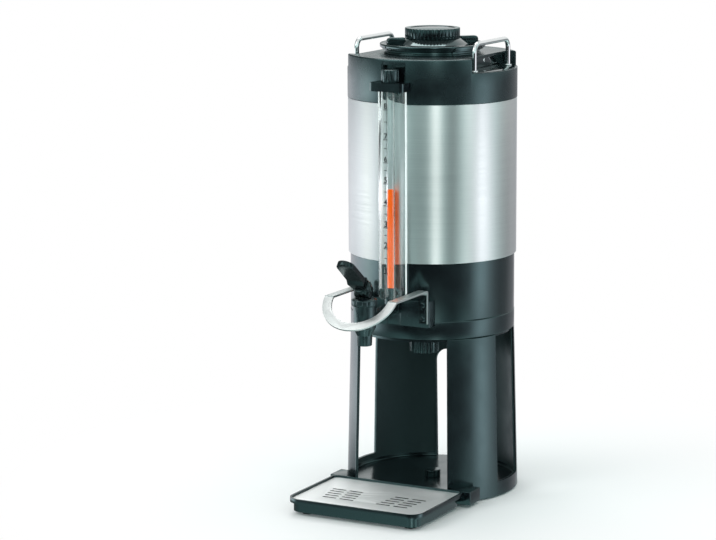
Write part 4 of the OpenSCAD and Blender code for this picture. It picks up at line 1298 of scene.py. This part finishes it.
    def lever(self) -> None:
        """Builds the lever: a fluted foot on the pin, a funnel with a flat shoulder and a thin paddle."""
        wide, end, tip, over = self.lever_w, self.lever_w / 2, self.lever_len, self.lever_len + 1
        lever = slab("lever_moulding", rounded([
            (-7, 0, 0), (7, 0, 0), (end, 26, 6), (end, tip, end - 0.2), (-end, tip, end - 0.2),
            (-end, 26, 6)], steps=8), -wide, wide, Axis.Y)
        side = slab("side", rounded([
            (-6, -1, 0), (5, -1, 0), (6.5, 24, 2), (3.6, 30, 3), (3.0, over, 0), (-3.2, over, 0),
            (-3.6, 31, 3), (-7.2, 25, 2)]), -wide, wide, Axis.X)
        soften(combine(lever, Mode.KEEP, side), 1.3)
        foot = turned("foot", [
            (0, -0.4, 0), (11.5, -0.4, 1.0), (12.6, 5, 1.5), (10.5, 12, 2.0), (0, 13, 0)], steps=72)
        knurl(foot, rod("flute", 2.2, -3, 14, (13.6, 0), steps=16), self.flutes, first=90)
        combine(lever, Mode.ADD, soften(foot, 0.4, 2))
        y, z, half = self.y, self.z_pin, self.hub_half
        tilt(lever, self.lean, (0, y, z))
        for name, r, at in (("hub", 5.5, (y, z)), ("cam", 5.7, (y + self.cam_y, z + self.cam_z))):
            roller = [(0, -half, 0), (r, -half, 0.8), (r, half, 0.8), (0, half, 0)]
            combine(lever, Mode.ADD, turned(name, roller, at, Axis.X, 40))
        combine(lever, Mode.CUT, slab("yoke", rectangle(y - 4.8, z - 14, y + 14, z + 6.5, 1), -4, 4, Axis.X))
        dress(soften(lever, 0), LEVER_ABS, Body.LEVER, "faucet_lever")

    def guard(self) -> None:
        """Builds the sheet guard: two tabs, two arms and a sloping half ring."""
        y, z, t, half = self.housing_y, self.z_arm, self.guard_t, self.guard_w / 2
        tab_low, reach = self.screw_z[1] - half, self.guard_bend_y - 0.6
        section = rounded([
            (y, tab_low, 0), (y, z, 4.0), (reach, z, 0), (reach, z - t, 0), (y - t, z - t, 1.5),
            (y - t, tab_low, 0)])
        arms = [slab("arm", section, x - half, x + half, Axis.X) for x in (-self.guard_x, self.guard_x)]
        turns = [math.pi * i / 48 for i in range(49)]
        strip = []
        for r in (self.guard_r, self.guard_w - self.guard_r):
            strip += [(r * math.cos(turn), -abs(r) * math.sin(turn)) for turn in turns]
        guard = slab("guard_strip", strip, -t, 0)
        tilt(guard, self.slope, (0, self.guard_bend_y + 0.25, z - 0.12))
        combine(guard, Mode.ADD, *arms)
        for screw_z in self.screw_z:
            for side in SIDES:
                hole = rod("hole", 2.15, y - 6, y + 4, (side * self.guard_x, screw_z), Axis.Y, 24)
                combine(guard, Mode.CUT, hole)
        dress(soften(guard, 0.5), SHEET_STEEL, Body.STAND, "faucet_guard")

    def tab_covers(self) -> None:
        """Builds the black covers on the guard's tabs."""
        face = self.housing_y - self.guard_t
        low, high = self.screw_z[1] - 6.2, self.screw_z[0] + 13.5
        cover = slab("tab_cover", rectangle(-6.2, low, 5.0, high, 0.8), face - 1.0, face - 0.03, Axis.Y)
        holes = [rod("hole", 3.6, face - 3, face + 1, (0, z), Axis.Y, 32) for z in self.screw_z]
        soften(combine(cover, Mode.CUT, *holes), 0.3, 2)
        covers = repeat(cover, [(side * self.guard_x, 0, 0, 0) for side in SIDES])
        dress(join("tab_covers", covers), LEVER_ABS, Body.STAND)

    def screws(self) -> None:
        """Builds the guard's four screws with domed heads and six-sided recesses."""
        face = self.housing_y - self.guard_t
        screw = turned("guard_screw", [
            (0, face - 2, 0), (2.2, face - 2, 0.4), (3.4, face - 1.0, 0.6), (3.4, face, 0), (1.95, face, 0),
            (1.95, face + 12, 0), (0, face + 12, 0)], axis=Axis.Y, steps=32)
        six = [(1.5 * math.cos(math.tau * i / 6), 1.5 * math.sin(math.tau * i / 6)) for i in range(6)]
        combine(screw, Mode.CUT, slab("recess", six, face - 4, face - 0.9, Axis.Y))
        places = [(side * self.guard_x, 0, z, 0) for side in SIDES for z in self.screw_z]
        screws = join("guard_screw_heads", repeat(soften(screw, 0), places))
        dress(screws, GLOSS_ABS, Body.STAND, "guard_screws")


@dataclass
class SightGauge:
    """Gauge tube with its drink column, half-round shield with a scale, bracket, cap and clip."""

    y: float = -123.0
    tube_r: float = 5.5
    tube_bore: float = 4.25
    z_socket: float = 288.0
    socket_r: float = 8.5
    z_neck: float = 583.5
    neck_r: float = 8.5
    shield_y: float = -114.5
    shield_r: float = 20.0
    shield_wall: float = 2.0
    z_shield: float = 283.0
    jacket_r: float = 115.4
    shell_r: float = 115.8
    z_shell: float = 541.5
    z_under: float = 561.0
    z_bracket: float = 572.5
    half: float = 25.0
    back: float = -57.0
    back_r: float = 112.5
    bracket_fit: float = 115.55
    z_below: float = 500.0
    z_over: float = 640.0
    cap_r: float = 12.0
    cap_h: float = 17.0
    cap_ribs: int = 18
    hook_x: float = 8.7
    hook_out: float = 6.9
    hook_in: float = 3.6
    hook_half: float = 3.0
    level: float = 429.5
    labels: Sequence[float] = (322.0, 355.6, 383.8, 413.3, 442.8, 470.7, 501.3, 541.0)
    label_turn: float = -3.0
    label_size: float = 10.4
    label_bold: float = 0.26
    label_drop: float = 2.4
    ink: float = 0.05
    tick_half: float = 0.5
    tick_drop: float = 3.8
    tick_long: float = 7.0
    tick_short: float = 4.0

    def build(self) -> None:
        """Builds all pieces of the gauge."""
        self.tube()
        self.shield()
        self.bracket()
        self.cap()
        self.clip()
        self.scale()

    def tube(self) -> None:
        """Builds the tube and the drink that stands in it."""
        r, bore, at = self.tube_r, self.tube_bore, (0, self.y)
        low, top = self.z_socket + 0.3, self.z_neck - 0.5
        wall = [(bore, low, 0.2), (r, low, 0.2), (r, top, 0.3), (bore, top, 0.3)]
        tube = ring("gauge_tube_clear", wall, at, 48)
        dress(soften(tube, 0), CLEAR, Body.STAND, "gauge_tube").visible_shadow = False
        inner, level = bore - 0.05, self.level
        column = turned("gauge_drink", [
            (0, low, 0), (inner, low, 0), (inner, level, 0), (inner - 1, level - 0.5, 0.4),
            (0, level - 0.6, 0)], at, steps=40)
        dress(soften(column, 0), DRINK, Body.STAND)

    def shield(self) -> None:
        """Builds the shield: a tube cut off along the jacket, with round lower corners."""
        r, low, top = self.shield_r, self.z_shield, self.z_under - 0.1
        inner = r - self.shield_wall
        shield = ring("gauge_shield_clear", [(inner, low, 0), (r, low, 0), (r, top, 0), (inner, top, 0)],
                      (0, self.shield_y))
        wide = r + 1
        front = slab("front", rounded([
            (-wide, low, 12), (wide, low, 12), (wide, top + 1, 0), (-wide, top + 1, 0)], steps=8),
            self.shield_y - 2 * r, self.shield_y, Axis.Y)
        combine(shield, Mode.KEEP, front)
        combine(shield, Mode.CUT, rod("jacket", self.jacket_r, low - 1, top + 2, steps=200),
                rod("shell", self.shell_r, self.z_shell, top + 2, steps=200))
        dress(soften(shield, 0.5, 2), SAWN_CLEAR, Body.STAND, "gauge_shield").visible_shadow = False

    def bracket(self) -> None:
        """Builds the bracket that carries shield and tube, with its neck."""
        low, top, at = self.z_under, self.z_bracket, (0, self.y)
        foot = rectangle(-self.half, self.y - self.cap_r - 2, self.half, self.back, 5)
        block = slab("gauge_bracket_moulding", foot, low, top)
        combine(block, Mode.ADD, rod("neck", self.neck_r, top - 1, self.z_neck, at))
        below, over = self.z_below, self.z_over
        combine(block, Mode.CUT, rod("shell", self.bracket_fit, below, top, steps=200),
                rod("bore", self.tube_r + 0.15, below, over, at),
                rod("behind", self.back_r, below, over, steps=120))
        dress(soften(block, 0.9), GLOSS_ABS, Body.STAND, "gauge_bracket")

    def cap(self) -> None:
        """Builds the ribbed cap of the gauge."""
        r, bore, low, at = self.cap_r, self.neck_r + 0.05, self.z_bracket + 0.3, (0, self.y)
        top = low + self.cap_h
        cap = turned("gauge_cap_ribbed", [
            (0, low + 12, 0), (bore, low + 12, 0), (bore, low, 0), (r, low, 0.6), (r, top, 1.8),
            (0, top, 0)], at, steps=144)
        knurl(cap, rod("groove", 1.6, low - 1, top + 1, (r + 1.1, 0), steps=14), self.cap_ribs, at)
        dress(soften(cap, 0.4, 2), GLOSS_ABS, Body.GAUGE_KNOB, "gauge_cap")

    def clip(self) -> None:
        """Builds the two hooks that hold the shield's lower end to the gauge socket."""
        x, z = self.hook_x, self.z_socket + 3.5
        turns = [math.radians(degree) for degree in range(100, -71, -10)]
        outline = []
        for r, run in ((self.hook_out, turns), (self.hook_in, turns[::-1])):
            outline += [(x + r * math.cos(turn), z + r * math.sin(turn)) for turn in run]
        hook = slab("gauge_clip_hook", outline, -self.hook_half, self.hook_half, Axis.Y)
        hooks = join("gauge_clip_hooks", repeat(hook, [(0, self.y, 0, 0), (0, self.y, 0, 180)]))
        inside = self.shield_r - self.shield_wall - 0.15
        low, high = z - 12, z + 12
        combine(hooks, Mode.KEEP, rod("inside", inside, low, high, (0, self.shield_y), steps=72))
        combine(hooks, Mode.CUT, rod("boss", self.socket_r + 0.15, low, high, (0, self.y)))
        dress(soften(hooks, 0.6), GLOSS_ABS, Body.STAND, "gauge_clip")

    def scale(self) -> None:
        """Prints the scale on the shield: plain numbers with ticks between and beside them."""
        marks = []
        for number, z in enumerate(self.labels, start=1):
            marks += [self.numeral(str(number), z), self.tick(z - self.tick_drop, self.tick_long)]
        for low, high in zip(self.labels, self.labels[1:]):
            marks.append(self.tick((low + high) / 2, self.tick_short))
        dress(join("gauge_scale", marks), INK, Body.STAND)

    def on_shield(self, mark: Piece, z: float) -> Piece:
        """Moves a mark to the shield's face.

        Args:
            mark: mark drawn upright at the origin, facing -Y.
            z: level of the mark.

        Returns:
            The mark, with its place in its mesh.
        """
        turn = math.radians(self.label_turn)
        reach = self.shield_r + 0.02
        mark.rotation_euler.z = turn
        mark.location = Vector((reach * math.sin(turn), self.shield_y - reach * math.cos(turn), z)) * MM
        settle(mark)
        return mark

    def numeral(self, text: str, z: float) -> Piece:
        """Makes one number as a thin mesh on the shield.

        Args:
            text: the number.
            z: level of the number.

        Returns:
            The mesh.
        """
        bpy.ops.object.select_all(action="DESELECT")
        bpy.ops.object.text_add()
        font = bpy.context.object.data
        font.body = text
        font.size = self.label_size * MM
        font.offset = self.label_bold * MM
        font.extrude = self.ink * MM
        font.align_x = "CENTER"
        font.resolution_u = 3
        bpy.ops.object.convert(target="MESH")
        number = bpy.context.object
        number.rotation_euler.x = math.pi / 2
        settle(number)
        return self.on_shield(number, z - self.label_drop)

    def tick(self, z: float, width: float) -> Piece:
        """Makes one tick as a thin bar on the shield.

        Args:
            z: level of the tick.
            width: its length.

        Returns:
            The mesh.
        """
        x, y = width / 2, self.tick_half
        bar = slab("tick", [(-x, -y), (x, -y), (x, y), (-x, y)], -self.ink, self.ink, Axis.Y)
        return self.on_shield(bar, z)


@dataclass
class CarriedOver:
    """Pieces that keep the model's own shape and get a finish."""

    groups: Sequence[tuple[Finish, str]] = (
        (RUBBER, "stand_feet centre_foot tray_feet shank_washer"),
        (PLAIN_STEEL, "clamp_stud clamp_washer bracket_screws handle_nuts shank_nut lever_pin valve_spring"),
        (PLAIN_STEEL, "inner_vessel outlet_pipe"),
        (SATIN_ABS, "valve_stem"),
        (GLOSS_ABS, "lid_stopper pouring_plug"),
        (SILICONE, "stopper_seal plug_seal seat_cup gauge_liner gauge_seals"),
        (FOAM, "insulation"))

    def build(self) -> None:
        """Gives each of these nodes its finish."""
        for finish, names in self.groups:
            for name in names.split():
                coat(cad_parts[name], finish)
                LOG.info("%s: %s", name, finish.name)


# Studio


@dataclass
class Studio:
    """Pale floor, soft light and the camera at the photograph's viewing angle.

    The light is set so that the steel shows bright and dark bands: bands and dome hold its level by
    degrees from the front to the right, near the horizon and above it.
    """

    azimuth: float = 26.95
    elevation: float = 10.35
    distance: float = 3.517
    target_z: float = 0.3015
    focal_px: float = 2554.0
    picture_px: float = 716.0
    axis_px: float = 432.5
    strength: float = 3.4
    bands: Sequence[Point] = (
        (-180, 0.35), (-150, 0.7), (-126, 1.12), (-105, 1.8), (-88, 2.65), (-74, 3.8), (-60, 2.9),
        (-48, 0.9), (-36, 0.2), (-20, 0.07), (0, 0.03), (20, 0.05), (40, 0.07), (52, 0.11), (66, 0.17),
        (80, 0.45), (89, 1.5), (97, 2.4), (105, 2.0), (114, 1.15), (125, 0.55), (136, 0.3), (152, 0.27),
        (168, 0.4))
    dome: Sequence[Point] = (
        (-180, 0.6), (-140, 0.3), (-126, 0.12), (-105, 0.16), (-74, 0.3), (-56, 0.35), (-30, 0.65),
        (-8, 0.82), (2, 0.64), (12, 0.67), (20, 0.74), (25, 1.35), (28, 2.5), (34, 2.7), (39, 1.55),
        (43, 0.92), (48, 0.64), (54, 0.36), (60, 0.48), (68, 1.1), (80, 1.95), (91, 0.35), (107, 0.2),
        (122, 0.97), (135, 0.98), (150, 0.85), (167, 0.45))
    dim: float = 0.9
    bright: float = 2.5
    dim_red: float = 0.72
    bright_red: float = 0.92
    band_z: float = -0.16
    band_left: float = 0.06
    band_right: float = 0.14
    band_turn: Point = (-0.3, 0.2)
    band_fade: float = 2.4
    sheet_y: Point = (0.55, 0.85)
    sheet_z: Point = (0.02, 0.16)
    zenith_z: Point = (0.55, 0.85)
    boxes: Sequence[tuple[str, Corner, Point, float]] = (
        ("key_box", (-2.2, -2.6, 2.8), (2.4, 2.4), 45.0), ("back_box", (-0.9, 1.2, 3.0), (1.6, 1.2), 25.0))
    boxes_aim: Corner = (0.0, 0.0, 0.3)
    floor_r: float = 6.0
    shadow_from: float = 0.2
    shadow_to: float = 0.6

    def build(self) -> None:
        """Builds floor, world, lamps and camera."""
        self.floor()
        self.world()
        self.lamps()
        self.camera()
        bpy.context.scene.view_settings.view_transform = "Standard"

    def floor(self) -> None:
        """Lays a pale floor that keeps the shadow near the object and fades to white further out."""
        bpy.ops.object.select_all(action="DESELECT")
        bpy.ops.mesh.primitive_circle_add(vertices=96, radius=self.floor_r, fill_type="NGON")
        floor = bpy.context.object
        floor.name = "studio_floor"
        material = bpy.data.materials.new("pale_floor")
        material.use_nodes = True
        tree = material.node_tree
        tree.nodes.clear()
        coords = add_node(tree, "TexCoord")
        reach = add_node(tree, "VectorMath", {0: coords.outputs["Object"]}, operation="LENGTH")
        fade = add_node(tree, "MapRange", {
            "Value": reach.outputs["Value"], "From Min": self.shadow_from, "From Max": self.shadow_to})
        paper = add_node(tree, "BsdfDiffuse", {"Color": linear("#f6f7f7")})
        white = add_node(tree, "Emission", {"Color": linear("#ffffff"), "Strength": 1.0})
        amount = add_node(tree, "Math", {0: self.seen(tree), 1: fade}, operation="MULTIPLY")
        shown = add_node(tree, "MixShader", {0: amount, 1: paper, 2: white})
        path = add_node(tree, "LightPath")
        clear = add_node(tree, "BsdfTransparent")
        mixed = add_node(tree, "MixShader", {0: path.outputs["Is Glossy Ray"], 1: shown, 2: clear})
        add_node(tree, "OutputMaterial", {"Surface": mixed})
        floor.data.materials.append(material)

    def seen(self, tree: bpy.types.NodeTree) -> Node:
        """Adds a value that tells what the camera sees.

        Args:
            tree: node tree of the floor or the world.

        Returns:
            A node that is 1 for what is seen straight or through clear plastic, and 0 otherwise.
        """
        path = add_node(tree, "LightPath").outputs
        straight = add_node(tree, "Math", {0: path["Is Camera Ray"], 1: path["Is Transmission Ray"]},
                            operation="MAXIMUM")
        turns = add_node(tree, "Math", {0: path["Glossy Depth"], 1: path["Diffuse Depth"]}, operation="ADD")
        none = add_node(tree, "Math", {0: turns, 1: 0.5}, operation="LESS_THAN")
        return add_node(tree, "Math", {0: straight, 1: none}, operation="MULTIPLY")

    def tone(self, level: float, high: bool) -> tuple[float, ...]:
        """Gives a level of light its colour: a little blue near the horizon, cool above it where it is dim.

        Args:
            level: brightness, 1 for white paper.
            high: whether the light stands above the horizon.

        Returns:
            Linear red, green, blue and alpha, as shares of the studio's strength.
        """
        warmth = min(1.0, max(0.0, (level - self.dim) / (self.bright - self.dim)))
        red = self.dim_red + (self.bright_red - self.dim_red) * warmth
        tint = (red, 1.0, 0.98) if high else (1.0, 1.0, 1.06)
        return (*(min(1.0, level / self.strength * part) for part in tint), 1.0)

    def ramp(self, tree: bpy.types.NodeTree, turn: Node, levels: Sequence[Point], high: bool) -> Node:
        """Adds light that changes with the direction round the object.

        Args:
            tree: node tree of the world.
            turn: direction, 0 at the back, 0.5 in front.
            levels: level of the light by degrees from the front to the right.
            high: whether the light stands above the horizon.

        Returns:
            The light's colour.
        """
        node = add_node(tree, "ValToRGB", {"Fac": turn})
        stops = node.color_ramp.elements
        for stop in stops:
            stop.color = self.tone(levels[0][1], high)
        for degrees, level in levels[1:]:
            stops.new((degrees + 180) / 360).color = self.tone(level, high)
        return add_node(tree, "VectorMath", {0: node, 3: self.strength}, operation="SCALE")

    def world(self) -> None:
        """Makes a studio of soft boxes and darker gaps round the object, and white behind and over it."""
        world = bpy.data.worlds.new("studio")
        bpy.context.scene.world = world
        world.use_nodes = True
        tree = world.node_tree
        tree.nodes.clear()
        coords = add_node(tree, "TexCoord")
        x, y, z = add_node(tree, "SeparateXYZ", {"Vector": coords.outputs["Generated"]}).outputs
        back = add_node(tree, "Math", {0: y, 1: -1.0}, operation="MULTIPLY")
        angle = add_node(tree, "Math", {0: x, 1: back}, operation="ARCTAN2")
        turn = add_node(tree, "MapRange", {"Value": angle, "From Min": -math.pi, "From Max": math.pi})
        low = self.ramp(tree, turn, self.bands, False)
        high = self.ramp(tree, turn, self.dome, True)
        lift = add_node(tree, "Math", {0: z, 1: self.band_z}, operation="SUBTRACT")
        away = add_node(tree, "Math", {0: lift}, operation="ABSOLUTE")
        half = add_node(tree, "MapRange", {
            "Value": x, "From Min": self.band_turn[0], "From Max": self.band_turn[1],
            "To Min": self.band_left, "To Max": self.band_right})
        edge = add_node(tree, "Math", {0: half, 1: self.band_fade}, operation="MULTIPLY")
        rise = add_node(tree, "MapRange", {"Value": away, "From Min": half, "From Max": edge})
        light = add_node(tree, "Mix", {0: rise, 6: low, 7: high}, data_type="RGBA")
        behind, above, zenith = (
            add_node(tree, "MapRange", {"Value": part, "From Min": start, "From Max": end})
            for part, (start, end) in ((y, self.sheet_y), (z, self.sheet_z), (z, self.zenith_z)))
        sheet = add_node(tree, "Math", {0: behind, 1: above}, operation="MULTIPLY")
        white = add_node(tree, "Math", {0: sheet, 1: zenith}, operation="MAXIMUM")
        for amount in (white, self.seen(tree)):
            parts = {0: amount, 6: light.outputs[2], 7: linear("#ffffff")}
            light = add_node(tree, "Mix", parts, data_type="RGBA")
        shine = add_node(tree, "Background", {"Color": light.outputs[2], "Strength": 1.0})
        add_node(tree, "OutputWorld", {"Surface": shine})

    def lamps(self) -> None:
        """Hangs one large soft box in front on the left and one over the back."""
        for name, place, (wide, tall), power in self.boxes:
            bpy.ops.object.select_all(action="DESELECT")
            bpy.ops.object.light_add(type="AREA", location=place)
            lamp = bpy.context.object
            lamp.name = name
            lamp.data.shape = "RECTANGLE"
            lamp.data.size = wide
            lamp.data.size_y = tall
            lamp.data.energy = power
            aim = Vector(self.boxes_aim) - Vector(place)
            lamp.rotation_euler = aim.to_track_quat("-Z", "Y").to_euler()

    def camera(self) -> None:
        """Sets the camera at the photograph's viewing angle."""
        a = math.radians(self.azimuth)
        e = math.radians(self.elevation)
        back = Vector((math.sin(a) * math.cos(e), -math.cos(a) * math.cos(e), math.sin(e)))
        bpy.ops.object.camera_add(location=Vector((0, 0, self.target_z)) + back * self.distance)
        camera = bpy.context.object
        camera.rotation_euler = (-back).to_track_quat("-Z", "Y").to_euler()
        camera.data.sensor_width = 36.0
        camera.data.lens = self.focal_px / self.picture_px * camera.data.sensor_width
        camera.data.shift_x = -(self.axis_px - self.picture_px / 2) / self.picture_px
        camera.data.clip_end = 60.0
        bpy.context.scene.camera = camera


def main() -> None:
    """Builds every sub-assembly and the studio in order."""
    logging.basicConfig(level=logging.INFO, format="%(name)s %(message)s")
    for assembly in (Stand(), DripTray(), Vessel(), Lid(), Faucet(), SightGauge(), CarriedOver(), Studio()):
        assembly.build()
        LOG.info("%s is built", type(assembly).__name__)


if __name__ == "__main__":
    main()
